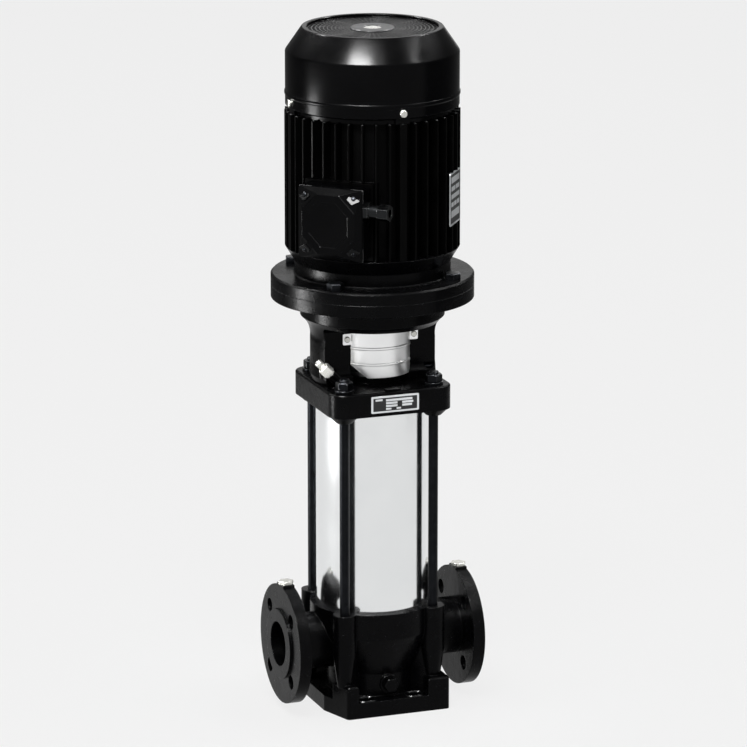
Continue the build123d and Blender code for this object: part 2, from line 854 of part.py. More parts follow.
# ----------------------------------------------------------------------------------------
# Hydraulic stack: suction piece, chambers with guide vanes, wear rings, impellers
# ----------------------------------------------------------------------------------------
bush_outer = pump_shaft_radius + running_gap + bush_wall
carrier_bottom = bush_bottom + bush_length - carrier_height
with BuildPart() as suction_piece:
    # Bowl that stands on the wall of the suction chamber and carries the first chamber.
    revolve(
        half_section(
            [
                (suction_radius - seat_gap, carrier_bottom),
                (suction_radius - seat_gap, suction_wall_top),
                (channel_inner_radius, suction_wall_top),
                (chamber_radius, suction_wall_top + chamber_floor),
                (chamber_radius, stage_start - stack_gap),
                (chamber_radius - 2 * chamber_wall, stage_start - stack_gap),
                (chamber_radius - 2 * chamber_wall, suction_wall_top + 2 * chamber_floor),
                (suction_radius - 2 * chamber_wall, suction_wall_top + chamber_floor),
                (suction_radius - 2 * chamber_wall, carrier_bottom),
            ]
        ),
        axis=Axis.Z,
    )
    # Carrier of the lower shaft bush, on arms from the bowl.
    revolve(ring_section(bush_outer + seat_gap, bush_outer + bush_wall, bush_bottom,
                         bush_bottom + bush_length), axis=Axis.Z)
    with BuildSketch(Plane.XY.offset(carrier_bottom)):
        with PolarLocations((bush_outer + suction_radius) / 2, spider_count, start_angle=45):
            Rectangle(suction_radius - bush_outer - bush_wall, spider_arm)
    extrude(amount=carrier_height)
keep(suction_piece, "suction_piece")

with BuildPart() as lower_bush:
    revolve(ring_section(pump_shaft_radius + running_gap, bush_outer, bush_bottom,
                         bush_bottom + bush_length), axis=Axis.Z)
keep(lower_bush, "lower_bush")

vane_length = chamber_radius - chamber_eye_radius - 4 * chamber_wall
with BuildSketch() as vane:
    Rectangle(vane_length, guide_vane_thickness, rotation=guide_vane_slant)

with BuildPart() as chamber:
    revolve(ring_section(chamber_radius - chamber_wall, chamber_radius, 0,
                         stage_pitch - stack_gap), axis=Axis.Z)
    revolve(ring_section(chamber_eye_radius, chamber_radius, 0, chamber_floor), axis=Axis.Z)
    # Guide vanes hang under the floor and turn the flow back to the eye.
    with BuildSketch(Plane.XY.offset(-guide_vane_height)):
        with PolarLocations((chamber_eye_radius + chamber_radius) / 2 - chamber_wall,
                            guide_vane_count):
            add(vane.sketch)
    extrude(amount=guide_vane_height + chamber_floor / 2)

with BuildPart() as stage_chambers:
    for stage in range(stage_count):
        with Locations((0, 0, stage_start + stage * stage_pitch)):
            add(chamber.part)
keep(stage_chambers, "stage_chambers")

wear_ring_inner = impeller_eye_radius + 3 * seat_gap
with BuildPart() as wear_rings:
    for stage in range(stage_count):
        floor = stage_start + stage * stage_pitch
        revolve(
            half_section(
                [
                    (wear_ring_inner, floor),
                    (chamber_eye_radius - seat_gap, floor),
                    (chamber_eye_radius - seat_gap, floor + chamber_floor + stack_gap),
                    (chamber_eye_radius + wear_ring_lip, floor + chamber_floor + stack_gap),
                    (chamber_eye_radius + wear_ring_lip, floor + wear_ring_height),
                    (wear_ring_inner, floor + wear_ring_height),
                ]
            ),
            axis=Axis.Z,
        )
keep(wear_rings, "wear_rings")

shroud_bottom = impeller_lift
shroud_top = impeller_lift + impeller_width
blade_middle_radius = (hub_radius + impeller_blade_start + impeller_radius) / 2
with BuildSketch() as blade:
    with BuildLine():
        ThreePointArc(
            (hub_radius + impeller_blade_start, 0),
            (blade_middle_radius * cos(radians(blade_sweep / 3)),
             blade_middle_radius * sin(radians(blade_sweep / 3))),
            ((impeller_radius - impeller_rim_land) * cos(radians(blade_sweep)),
             (impeller_radius - impeller_rim_land) * sin(radians(blade_sweep))),
        )
        offset(amount=impeller_blade_thickness / 2, side=Side.BOTH)
    make_face()

with BuildPart() as impeller:
    revolve(ring_section(pump_shaft_radius + seat_gap, hub_radius, 0, stage_pitch - stack_gap),
            axis=Axis.Z)
    revolve(ring_section(hub_radius - fuse_depth, impeller_radius, shroud_top - impeller_shroud,
                         shroud_top), axis=Axis.Z)
    revolve(ring_section(impeller_eye_radius, impeller_radius, shroud_bottom,
                         shroud_bottom + impeller_shroud), axis=Axis.Z)
    revolve(ring_section(impeller_eye_radius - impeller_shroud, impeller_eye_radius,
                         chamber_floor + impeller_floor_gap, shroud_bottom + impeller_shroud),
            axis=Axis.Z)
    # Blades curve backward from the eye to the rim, between the two shrouds.
    with BuildSketch(Plane.XY.offset(shroud_bottom + impeller_shroud / 2)):
        with PolarLocations(0, impeller_blade_count):
            add(blade.sketch)
    extrude(amount=impeller_width - impeller_shroud)

with BuildPart() as impellers:
    for stage in range(stage_count):
        with Locations((0, 0, stage_start + stage * stage_pitch)):
            add(impeller.part)
keep(impellers, "impellers")

with BuildPart() as top_guide:
    # Last guide: floor with an eye, and a wall with slots to the outer channel.
    revolve(ring_section(chamber_eye_radius, chamber_radius, stage_end, stage_end + chamber_floor),
            axis=Axis.Z)
    revolve(ring_section(chamber_radius - 3 * chamber_wall, chamber_radius - chamber_wall,
                         stage_end, head_ceiling_bottom - stack_gap), axis=Axis.Z)
    for through in (Plane.XZ, Plane.YZ):
        with BuildSketch(through.offset(-chamber_radius)):
            with Locations((0, (stage_end + head_ceiling_bottom) / 2)):
                SlotOverall(top_slot_length, top_slot_height)
        extrude(amount=2 * chamber_radius, mode=Mode.SUBTRACT)
keep(top_guide, "top_guide")

with BuildPart() as pump_shaft:
    revolve(ring_section(0, pump_shaft_radius, pump_shaft_bottom, pump_shaft_top), axis=Axis.Z)
    chamfer(pump_shaft.edges().group_by(Axis.Z)[0], shaft_edge)
    chamfer(pump_shaft.edges().group_by(Axis.Z)[-1], shaft_edge)
    with BuildSketch(Plane.YZ.offset(-2 * pump_shaft_radius)):
        with Locations((0, coupling_pin_height)):
            Circle(coupling_pin_radius + seat_gap)
    extrude(amount=4 * pump_shaft_radius, mode=Mode.SUBTRACT)
keep(pump_shaft, "pump_shaft")

with BuildPart() as shaft_nut:
    with BuildSketch(Plane.XY.offset(stage_end + stack_gap)):
        RegularPolygon(lock_nut_hex / 2, 6, major_radius=False)
        Circle(pump_shaft_radius + seat_gap, mode=Mode.SUBTRACT)
    extrude(amount=lock_nut_height)
keep(shaft_nut, "shaft_nut")

with BuildPart() as stop_collar:
    revolve(ring_section(pump_shaft_radius + seat_gap, hub_radius, stage_start - stop_collar_width,
                         stage_start - stack_gap), axis=Axis.Z)
keep(stop_collar, "stop_collar")

# ----------------------------------------------------------------------------------------
# Motor stool with two windows, and its screws
# ----------------------------------------------------------------------------------------
with BuildPart() as motor_stool:
    with BuildSketch(Plane.XZ):
        with BuildLine():
            Polyline(
                (stool_leg_inner_radius, head_top),
                (stool_foot_radius, head_top),
                (stool_foot_radius + stool_foot_flare, stool_foot_top),
                (stool_leg_outer_radius, stool_foot_top + stool_leg_start),
                (stool_leg_outer_radius, window_top - stool_arch_drop),
            )
            RadiusArc((stool_leg_outer_radius, window_top - stool_arch_drop),
                      (stool_neck_radius, stool_neck_bottom), stool_arch_radius)
            Polyline(
                (stool_neck_radius, stool_neck_bottom),
                (stool_neck_radius, stool_step_bottom),
                (stool_step_radius, stool_step_bottom + stool_step_rise),
                (stool_step_radius, stool_top - stool_top_thickness),
                (motor_flange_radius, stool_top - stool_top_thickness),
                (motor_flange_radius, stool_top),
                (motor_spigot_radius + seat_gap, stool_top),
                (motor_spigot_radius + seat_gap, spigot_recess_bottom),
                (stool_mouth_radius, spigot_recess_bottom),
                (stool_bore_radius, window_top + stool_throat_rise),
                (stool_leg_inner_radius, window_top + stool_ceiling_rise),
                (stool_leg_inner_radius, head_top),
            )
        make_face()
    revolve(axis=Axis.Z)
    # Windows: everything in front of and behind the two legs, with rounded corners.
    for side in (-1, 1):
        with BuildSketch(Plane.YZ.offset(-2 * stool_leg_outer_radius)):
            with Locations((side * (stool_leg_half_width + stool_step_radius),
                            (stool_foot_top + window_top) / 2)):
                RectangleRounded(2 * stool_step_radius, window_top - stool_foot_top,
                                 window_corner_radius)
        extrude(amount=4 * stool_leg_outer_radius, mode=Mode.SUBTRACT)
        with BuildSketch(Plane.YZ.offset(-2 * stool_leg_outer_radius)):
            with Locations((side * (stool_foot_half_width + stool_step_radius), head_top)):
                Rectangle(2 * stool_step_radius, 4 * stool_foot_thickness)
        extrude(amount=4 * stool_leg_outer_radius, mode=Mode.SUBTRACT)
    # Screw holes: stool to head, motor to stool, guards to legs.
    with BuildSketch(Plane.XY.offset(head_top)):
        with GridLocations(2 * stool_screw_x, 2 * stool_screw_y, 2, 2):
            Circle(stool_screw_radius + seat_gap)
    extrude(amount=stool_foot_thickness + stool_screw_head + stool_screw_seat, mode=Mode.SUBTRACT)
    with BuildSketch(Plane.XY.offset(stool_foot_top)):
        with GridLocations(2 * stool_screw_x, 2 * stool_screw_y, 2, 2):
            Circle(stool_screw_hex / 2 + stool_screw_seat)
    extrude(amount=stool_screw_head + stool_screw_seat + fuse_depth, mode=Mode.SUBTRACT)
    with BuildSketch(Plane.XY.offset(stool_top)):
        with PolarLocations(motor_bolt_circle_radius, 4, start_angle=45):
            Circle(motor_bolt_radius + seat_gap)
    extrude(amount=-stool_top_thickness, mode=Mode.SUBTRACT)
    for side in (-1, 1):
        with BuildSketch(Plane.XZ.offset(side * stool_leg_half_width)):
            with Locations((0, guard_screw_height)):
                with GridLocations(2 * guard_screw_x, 0, 2, 1):
                    Circle(guard_screw_radius + seat_gap)
        extrude(amount=-side * guard_screw_depth, mode=Mode.SUBTRACT)
keep(motor_stool, "motor_stool")

with BuildPart() as stool_screws:
    with Locations((0, 0, stool_foot_top)):
        with GridLocations(2 * stool_screw_x, 2 * stool_screw_y, 2, 2):
            add(hex_bolt(stool_screw_hex, stool_screw_head, stool_screw_radius,
                         stool_foot_thickness + stool_screw_depth))
keep(stool_screws, "stool_screws")

# ----------------------------------------------------------------------------------------
# Clamp coupling: two halves, cross pin, clamp screws
# ----------------------------------------------------------------------------------------
coupling_screw_heights = (coupling_bottom + coupling_screw_inset,
                          coupling_top - coupling_screw_inset)


def coupling_half(side):
    """Return one half of the clamp coupling; side is -1 in front of the shaft, 1 behind it."""
    with BuildPart() as half:
        revolve(
            half_section(
                [
                    (pump_shaft_radius + seat_gap, coupling_bottom),
                    (coupling_radius, coupling_bottom),
                    (coupling_radius, coupling_top),
                    (motor_shaft_radius + seat_gap, coupling_top),
                    (motor_shaft_radius + seat_gap, pump_shaft_top),
                    (pump_shaft_radius + seat_gap, pump_shaft_top),
                ]
            ),
            axis=Axis.Z,
        )
        chamfer(half.edges().filter_by(GeomType.CIRCLE).sort_by(SortBy.RADIUS)[-2:], coupling_edge)
        split(bisect_by=Plane.XZ.offset(-side * coupling_split / 2),
              keep=Keep.BOTTOM if side > 0 else Keep.TOP)
        with BuildSketch(Plane.XZ.offset(-side * coupling_radius)):
            for height in coupling_screw_heights:
                with Locations((-coupling_screw_x, height), (coupling_screw_x, height)):
                    Circle(coupling_screw_radius + seat_gap)
        extrude(amount=side * coupling_radius, mode=Mode.SUBTRACT)
        with BuildSketch(Plane.YZ.offset(-coupling_pin_length / 2 - seat_gap)):
            with Locations((0, coupling_pin_height)):
                Circle(coupling_pin_radius + seat_gap)
        extrude(amount=coupling_pin_length + 2 * seat_gap, mode=Mode.SUBTRACT)
    return half


screw_seat = (coupling_radius ** 2 - (coupling_screw_x + coupling_screw_head_radius) ** 2) ** 0.5
with BuildPart() as coupling_screws:
    for height in coupling_screw_heights:
        for x in (-coupling_screw_x, coupling_screw_x):
            with BuildSketch(Plane.XZ.offset(screw_seat)):
                with Locations((x, height)):
                    Circle(coupling_screw_head_radius)
                    RegularPolygon(coupling_screw_radius / coupling_screw_socket, 6,
                                   mode=Mode.SUBTRACT)
            extrude(amount=coupling_screw_head)
            with BuildSketch(Plane.XZ.offset(screw_seat + coupling_screw_head / 3)):
                with Locations((x, height)):
                    Circle(coupling_screw_radius)
            extrude(amount=-2 * screw_seat - coupling_screw_head / 3)
with BuildPart() as screw_pockets:
    for height in coupling_screw_heights:
        for x in (-coupling_screw_x, coupling_screw_x):
            with BuildSketch(Plane.XZ.offset(screw_seat)):
                with Locations((x, height)):
                    Circle(coupling_screw_head_radius + 5 * seat_gap)
            extrude(amount=coupling_radius)
with BuildPart() as coupling_half_front:
    add(coupling_half(-1).part)
    add(screw_pockets.part, mode=Mode.SUBTRACT)
keep(coupling_half_front, "coupling_half_front")
coupling_half_back = coupling_half(1)
keep(coupling_half_back, "coupling_half_back")
keep(coupling_screws, "coupling_screws")

with BuildPart() as coupling_pin:
    with BuildSketch(Plane.YZ.offset(-coupling_pin_length / 2)):
        with Locations((0, coupling_pin_height)):
            Circle(coupling_pin_radius)
    extrude(amount=coupling_pin_length)
keep(coupling_pin, "coupling_pin")

# ----------------------------------------------------------------------------------------
# Coupling guards: bent sheet with two beads and four screw tabs each
# ----------------------------------------------------------------------------------------


def coupling_guard(side):
    """Return the guard in front of (side -1) or behind (side 1) the coupling."""
    half_wrap = radians(guard_wrap / 2)
    wrap_x = guard_radius * sin(half_wrap)
    wrap_y = guard_radius * cos(half_wrap)
    tab_y = stool_leg_half_width + guard_sheet / 2 + stack_gap
    with BuildPart() as guard:
        with BuildSketch(Plane.XY.offset(guard_bottom)):
            with BuildLine():
                CenterArc((0, 0), guard_radius, 90 - guard_wrap / 2, guard_wrap)
                offset(amount=guard_sheet / 2, side=Side.BOTH)
            make_face()
        extrude(amount=guard_top - guard_bottom)
        # Bent wings with one screw tab on each leg of the stool.
        for wing in (-1, 1):
            with BuildSketch(Plane.XY.offset(guard_tab_bottom)):
                with BuildLine():
                    Polyline((wing * wrap_x, wrap_y), (wing * wrap_x, tab_y),
                             (wing * guard_tab_reach, tab_y))
                    offset(amount=guard_sheet / 2, side=Side.BOTH)
                make_face()
            extrude(amount=guard_tab_top - guard_tab_bottom)
        for bead in guard_beads:
            with BuildSketch(Plane.XY.offset(bead - guard_bead_width / 2)):
                with BuildLine():
                    CenterArc((0, 0), guard_radius + guard_bead_rise / 2,
                              90 - guard_wrap / 2 + guard_bead_inset,
                              guard_wrap - 2 * guard_bead_inset)
                    offset(amount=(guard_sheet + guard_bead_rise) / 2, side=Side.BOTH)
                make_face()
            extrude(amount=guard_bead_width)
        with BuildSketch(Plane.XZ.offset(-tab_y - guard_sheet)):
            with Locations((0, guard_screw_height)):
                with GridLocations(2 * guard_screw_x, 0, 2, 1):
                    Circle(guard_screw_radius + seat_gap)
        extrude(amount=2 * guard_sheet + fuse_depth, mode=Mode.SUBTRACT)
        if side < 0:
            mirror(about=Plane.XZ, mode=Mode.REPLACE)
    return guard


guard_front = coupling_guard(-1)
keep(guard_front, "guard_front")
guard_back = coupling_guard(1)
keep(guard_back, "guard_back")

guard_screw = pan_screw(guard_screw_head_radius, guard_screw_head, guard_screw_radius,
                        guard_screw_depth)
screw_plane_y = stool_leg_half_width + guard_sheet + 2 * stack_gap
with BuildPart() as guard_screws:
    for plane in (Plane.XZ.offset(screw_plane_y),
                  Plane.XZ.rotated((0, 0, 180)).offset(screw_plane_y)):
        for x in (-guard_screw_x, guard_screw_x):
            with Locations(plane.location * Location((x, guard_screw_height, 0))):
                add(guard_screw)
keep(guard_screws, "guard_screws")

# ----------------------------------------------------------------------------------------
# Motor: drive-end shield with flange, finned frame, tail-end shield
# ----------------------------------------------------------------------------------------
drive_housing = drive_bearing["outer"] + seat_gap
tail_housing = tail_bearing["outer"] + seat_gap
with BuildPart() as drive_shield:
    revolve(
        half_section(
            [
                (motor_shaft_radius + shield_shaft_gap, stool_top - motor_spigot_height),
                (motor_spigot_radius, stool_top - motor_spigot_height),
                (motor_spigot_radius, stool_top),
                (motor_flange_radius, stool_top),
                (motor_flange_radius, motor_flange_top - shield_edge),
                (motor_flange_radius - shield_edge, motor_flange_top),
                (shield_waist_radius + shield_root, motor_flange_top),
                (shield_waist_radius, motor_flange_top + shield_root),
                (shield_waist_radius, shield_waist_top),
                (fin_radius, shield_top),
                (barrel_inner_radius - seat_gap, shield_top),
                (barrel_inner_radius - seat_gap, shield_top + shield_register),
                (barrel_inner_radius - shield_wall, shield_top + shield_register),
                (barrel_inner_radius - shield_wall, shield_waist_top),
                (drive_housing + shield_wall, shield_waist_top - shield_wall),
                (drive_housing + shield_wall, drive_bearing["bottom"] + drive_bearing["width"]),
                (drive_housing, drive_bearing["bottom"] + drive_bearing["width"]),
                (drive_housing, drive_bearing["bottom"]),
                (drive_housing - shield_wall, drive_bearing["bottom"]),
                (drive_housing - shield_wall, drive_bearing["bottom"] - shield_wall / 2),
                (motor_shaft_radius + shield_shaft_gap, drive_bearing["bottom"] - shield_wall / 2),
            ]
        ),
        axis=Axis.Z,
    )
    with BuildSketch(Plane.XY.offset(motor_flange_top)):
        with PolarLocations(motor_bolt_circle_radius, 4, start_angle=45):
            Circle(motor_bolt_radius + 5 * seat_gap)
    extrude(amount=-motor_flange_thickness, mode=Mode.SUBTRACT)
keep(drive_shield, "drive_shield")

with BuildPart() as motor_bolts:
    with Locations((0, 0, motor_flange_top)):
        with PolarLocations(motor_bolt_circle_radius, 4, start_angle=45):
            add(hex_bolt(motor_bolt_hex, motor_bolt_head, motor_bolt_radius,
                         motor_flange_thickness + motor_bolt_engagement))
keep(motor_bolts, "motor_bolts")


def near(angle, centre, half_span):
    """Tell whether an angle lies within half a span of a centre, both in degrees."""
    return abs((angle - centre + 180) % 360 - 180) < half_span


fin_angles = [fin * 360 / fin_count for fin in range(fin_count) if fin % rib_every]
rib_angles = [rib * 360 / fin_count for rib in range(0, fin_count, rib_every)]
box_top = box_centre + box_height / 2 + pad_margin
free_fins = [a for a in fin_angles
             if not near(a, box_angle, box_half_span) and not near(a, plate_angle, plate_half_span)]
short_fins = [a for a in fin_angles if near(a, box_angle, box_half_span)]
plate_fins = [a for a in fin_angles if near(a, plate_angle, plate_half_span)]


def fin_face():
    """Return the tapered section of one fin, lying along +X."""
    with BuildSketch() as fin:
        with BuildLine():
            Polyline(
                (barrel_radius - fuse_depth, -fin_root_thickness / 2),
                (fin_radius, -fin_tip_thickness / 2),
                (fin_radius, fin_tip_thickness / 2),
                (barrel_radius - fuse_depth, fin_root_thickness / 2),
                close=True,
            )
        make_face()
    return fin.sketch


with BuildPart() as motor_frame:
    revolve(ring_section(barrel_inner_radius, barrel_radius, shield_top, frame_top), axis=Axis.Z)
    # Full-length fins, fins above the terminal box, fins above and below the plate.
    with BuildSketch(Plane.XY.offset(shield_top)):
        for angle in free_fins:
            add(fin_face().rotate(Axis.Z, angle))
    extrude(amount=frame_top - shield_top)
    with BuildSketch(Plane.XY.offset(box_top + pad_margin)):
        for angle in short_fins:
            add(fin_face().rotate(Axis.Z, angle))
    extrude(amount=frame_top - box_top - pad_margin)
    with BuildSketch(Plane.XY.offset(shield_top)):
        for angle in plate_fins:
            add(fin_face().rotate(Axis.Z, angle))
    extrude(amount=plate_centre - plate_height / 2 - shield_top)
    with BuildSketch(Plane.XY.offset(plate_centre + plate_height / 2)):
        for angle in plate_fins:
            add(fin_face().rotate(Axis.Z, angle))
    extrude(amount=frame_top - plate_centre - plate_height / 2)
    # Ribs with the lower ends of the cover lugs.
    for angle in rib_angles:
        rib_plane = radial_plane(angle, barrel_radius - rib_root, (shield_top + frame_top) / 2)
        with BuildSketch(rib_plane):
            Rectangle(rib_thickness, frame_top - shield_top)
        extrude(amount=fin_radius - barrel_radius + rib_root)
    # Pads of the terminal box and of the rating plate.
    with BuildSketch(radial_plane(box_angle, barrel_radius - box_pad_root, box_centre)):
        Rectangle(box_width + 2 * pad_margin, box_height + 2 * pad_margin)
    extrude(amount=box_seat - barrel_radius + box_pad_root)
    with BuildSketch(radial_plane(plate_angle, barrel_radius - plate_pad_root, plate_centre)):
        Rectangle(plate_width + 2 * plate_thickness, plate_height)
    extrude(amount=plate_seat - barrel_radius + plate_pad_root)
    revolve(ring_section(0, barrel_inner_radius, shield_top, frame_top), axis=Axis.Z,
            mode=Mode.SUBTRACT)
    # Cable passage from the terminal box into the frame.
    with BuildSketch(radial_plane(box_angle, box_seat, box_centre)):
        RectangleRounded(board_width, board_height, passage_corner)
    extrude(amount=-(box_seat - barrel_inner_radius + passage_run_in), mode=Mode.SUBTRACT)
keep(motor_frame, "motor_frame")

with BuildPart() as tail_shield:
    tail_shield_top = frame_top + tail_shield_thickness
    tail_housing_top = tail_bearing["bottom"] + tail_bearing["width"]
    revolve(
        half_section(
            [
                (tail_housing, tail_bearing["bottom"]),
                (tail_housing + tail_housing_wall, tail_bearing["bottom"]),
                (tail_housing + tail_housing_wall, frame_top),
                (barrel_inner_radius - shield_wall, frame_top),
                (barrel_inner_radius - shield_wall, frame_top - shield_register),
                (barrel_inner_radius - seat_gap, frame_top - shield_register),
                (barrel_inner_radius - seat_gap, frame_top),
                (tail_shield_radius, frame_top),
                (tail_shield_radius, tail_shield_top),
                (tail_housing + tail_housing_wall, tail_shield_top),
                (tail_housing + tail_housing_wall, tail_housing_top + tail_cap_thickness),
                (fan_seat_radius + tail_cap_clearance, tail_housing_top + tail_cap_thickness),
                (fan_seat_radius + tail_cap_clearance, tail_housing_top + tail_cap_gap),
                (tail_housing, tail_housing_top + tail_cap_gap),
            ]
        ),
        axis=Axis.Z,
    )
    for angle in rib_angles:
        lug_plane = radial_plane(angle, tail_shield_radius - tail_lug_root,
                                 frame_top + tail_lug_height / 2)
        with BuildSketch(lug_plane):
            Rectangle(tail_lug_width, tail_lug_height)
        extrude(amount=cover_inner_radius - 2 * seat_gap - tail_shield_radius + tail_lug_root)
    for angle in rib_angles:
        with BuildSketch(radial_plane(angle, cover_radius, cover_screw_height)):
            Circle(cover_screw_radius + seat_gap)
        extrude(amount=-cover_screw_depth - fuse_depth, mode=Mode.SUBTRACT)
    # The lugs are turned down to the bore of the cover.
    revolve(ring_section(cover_inner_radius - 2 * seat_gap, cover_radius + tail_lug_root,
                         frame_top - tail_lug_height, cover_top),
            axis=Axis.Z, mode=Mode.SUBTRACT)
keep(tail_shield, "tail_shield")

# ----------------------------------------------------------------------------------------
# Motor: windings, cores, shaft, bearings
# ----------------------------------------------------------------------------------------
with BuildPart() as stator_core:
    revolve(ring_section(stator_inner_radius, barrel_inner_radius - seat_gap / 2, stator_start,
                         stator_end), axis=Axis.Z)
keep(stator_core, "stator_core")

with BuildPart() as stator_windings:
    for bottom in (stator_start - winding_height - stack_gap, stator_end + stack_gap):
        revolve(ring_section(winding_inner_radius, winding_outer_radius, bottom,
                             bottom + winding_height), axis=Axis.Z)
    fillet(stator_windings.edges(), winding_height / 4)
keep(stator_windings, "stator_windings")

with BuildPart() as rotor_core:
    revolve(ring_section(motor_journal_radius + seat_gap / 2, rotor_radius, stator_start,
                         stator_end), axis=Axis.Z)
keep(rotor_core, "rotor_core")

with BuildPart() as motor_shaft:
    revolve(
        half_section(
            [
                (0, motor_shaft_bottom),
                (motor_shaft_radius - motor_shaft_edge, motor_shaft_bottom),
                (motor_shaft_radius, motor_shaft_bottom + motor_shaft_edge),
                (motor_shaft_radius, motor_journal_start),
                (motor_journal_radius, motor_journal_start),
                (motor_journal_radius, tail_bearing["bottom"] + tail_bearing["width"]),
                (fan_seat_radius, tail_bearing["bottom"] + tail_bearing["width"]),
                (fan_seat_radius, motor_shaft_top - motor_shaft_edge),
                (fan_seat_radius - motor_shaft_edge, motor_shaft_top),
                (0, motor_shaft_top),
            ]
        ),
        axis=Axis.Z,
    )
keep(motor_shaft, "motor_shaft")


def ball_bearing(size, name):
    """Write the outer race, the inner race and the caged balls of one deep-groove bearing."""
    middle = size["bottom"] + size["width"] / 2
    inner_race = motor_journal_radius + seat_gap / 2
    pitch = (size["outer"] + inner_race) / 2
    groove = size["ball"] + running_gap
    with BuildPart() as outer_race:
        revolve(ring_section(size["outer"] - race_wall, size["outer"], size["bottom"],
                             size["bottom"] + size["width"]), axis=Axis.Z)
        with BuildSketch(Plane.XZ):
            with Locations((pitch, middle)):
                Circle(groove)
        revolve(axis=Axis.Z, mode=Mode.SUBTRACT)
    keep(outer_race, f"{name}_outer_race")
    with BuildPart() as inner:
        revolve(ring_section(inner_race, inner_race + race_wall, size["bottom"],
                             size["bottom"] + size["width"]), axis=Axis.Z)
        with BuildSketch(Plane.XZ):
            with Locations((pitch, middle)):
                Circle(groove)
        revolve(axis=Axis.Z, mode=Mode.SUBTRACT)
    keep(inner, f"{name}_inner_race")
    with BuildPart() as balls:
        revolve(ring_section(pitch - cage_wall / 2, pitch + cage_wall / 2,
                             middle - cage_half_width, middle + cage_half_width), axis=Axis.Z)
        with Locations((0, 0, middle)):
            with PolarLocations(pitch, size["balls"]):
                Sphere(size["ball"])
    keep(balls, f"{name}_balls")


ball_bearing(drive_bearing, "drive_bearing")
ball_bearing(tail_bearing, "tail_bearing")

# ----------------------------------------------------------------------------------------
# Motor: fan, fan cover with grille, cover screws
# ----------------------------------------------------------------------------------------
with BuildPart() as motor_fan:
    revolve(ring_section(fan_seat_radius + seat_gap, fan_hub_radius, fan_bottom,
                         fan_bottom + fan_hub_height), axis=Axis.Z)
    revolve(ring_section(fan_hub_radius - fuse_depth, fan_radius, fan_bottom,
                         fan_bottom + fan_plate), axis=Axis.Z)
    with BuildSketch(Plane.XY.offset(fan_bottom + fan_plate / 2)):
        with PolarLocations((fan_hub_radius + fan_radius) / 2, fan_blade_count):
            Rectangle(fan_radius - fan_hub_radius, fan_blade_thickness)
    extrude(amount=fan_blade_height)
keep(motor_fan, "motor_fan")

with BuildPart() as fan_cover:
    bead_bottom = cover_bead_height - cover_bead_width / 2
    bead_top = cover_bead_height + cover_bead_width / 2
    revolve(
        half_section(
            [
                (cover_inner_radius, cover_bottom),
                (cover_radius, cover_bottom),
                (cover_radius, bead_bottom),
                (cover_radius + cover_bead_rise, bead_bottom + cover_bead_rise),
                (cover_radius + cover_bead_rise, bead_top - cover_bead_rise),
                (cover_radius, bead_top),
                (cover_radius, cover_shoulder),
                (cover_top_radius, cover_top),
                (cover_mouth_radius + cover_sheet, cover_top),
                (cover_mouth_radius, cover_top - cover_sheet),
                (cover_mouth_radius, cover_top - cover_well_depth),
                (cover_mouth_radius - cover_ledge, cover_top - cover_well_depth),
                (cover_mouth_radius - cover_ledge, cover_top - cover_well_depth - cover_sheet),
                (cover_mouth_radius + cover_sheet, cover_top - cover_well_depth - cover_sheet),
                (cover_mouth_radius + cover_sheet, cover_top - cover_sheet),
                (cover_top_radius - cover_inner_bend, cover_top - cover_sheet),
                (cover_inner_radius, cover_shoulder - cover_inner_bend),
            ]
        ),
        axis=Axis.Z,
    )
    for angle in rib_angles:
        with BuildSketch(radial_plane(angle, cover_radius + cover_sheet, cover_screw_height)):
            Circle(cover_screw_radius + 2 * seat_gap)
        extrude(amount=-3 * cover_sheet, mode=Mode.SUBTRACT)
keep(fan_cover, "fan_cover")

with BuildPart() as fan_grille:
    grille_bottom = cover_top - cover_well_depth + stack_gap
    revolve(ring_section(0, grille_hub_radius, grille_bottom, grille_bottom + grille_thickness),
            axis=Axis.Z)
    for ring in range(grille_ring_count):
        middle = grille_hub_radius + (ring + 1) * grille_pitch - grille_ring_width / 2 - seat_gap
        revolve(ring_section(middle - grille_ring_width / 2, middle + grille_ring_width / 2,
                             grille_bottom, grille_bottom + grille_thickness), axis=Axis.Z)
    with BuildSketch(Plane.XY.offset(grille_bottom)):
        with PolarLocations((grille_hub_radius + cover_mouth_radius) / 2 - grille_spoke_inset,
                            grille_spoke_count):
            Rectangle(cover_mouth_radius - grille_hub_radius, grille_spoke_width)
    extrude(amount=grille_thickness)
keep(fan_grille, "fan_grille")

cover_screw = pan_screw(cover_screw_head_radius, cover_screw_head, cover_screw_radius,
                        cover_screw_depth)
with BuildPart() as cover_screws:
    for angle in rib_angles:
        with Locations(radial_plane(angle, cover_radius + stack_gap, cover_screw_height).location):
            add(cover_screw)
keep(cover_screws, "cover_screws")

# ----------------------------------------------------------------------------------------
# Terminal box: body, gasket, bevelled lid, screws, terminal board, gland
# ----------------------------------------------------------------------------------------
box_plane = radial_plane(box_angle, box_seat, box_centre)
lid_plane = box_plane.offset(box_depth + gasket_thickness)
screw_grid = (box_width - 2 * lid_screw_inset, box_height - 2 * lid_screw_inset)

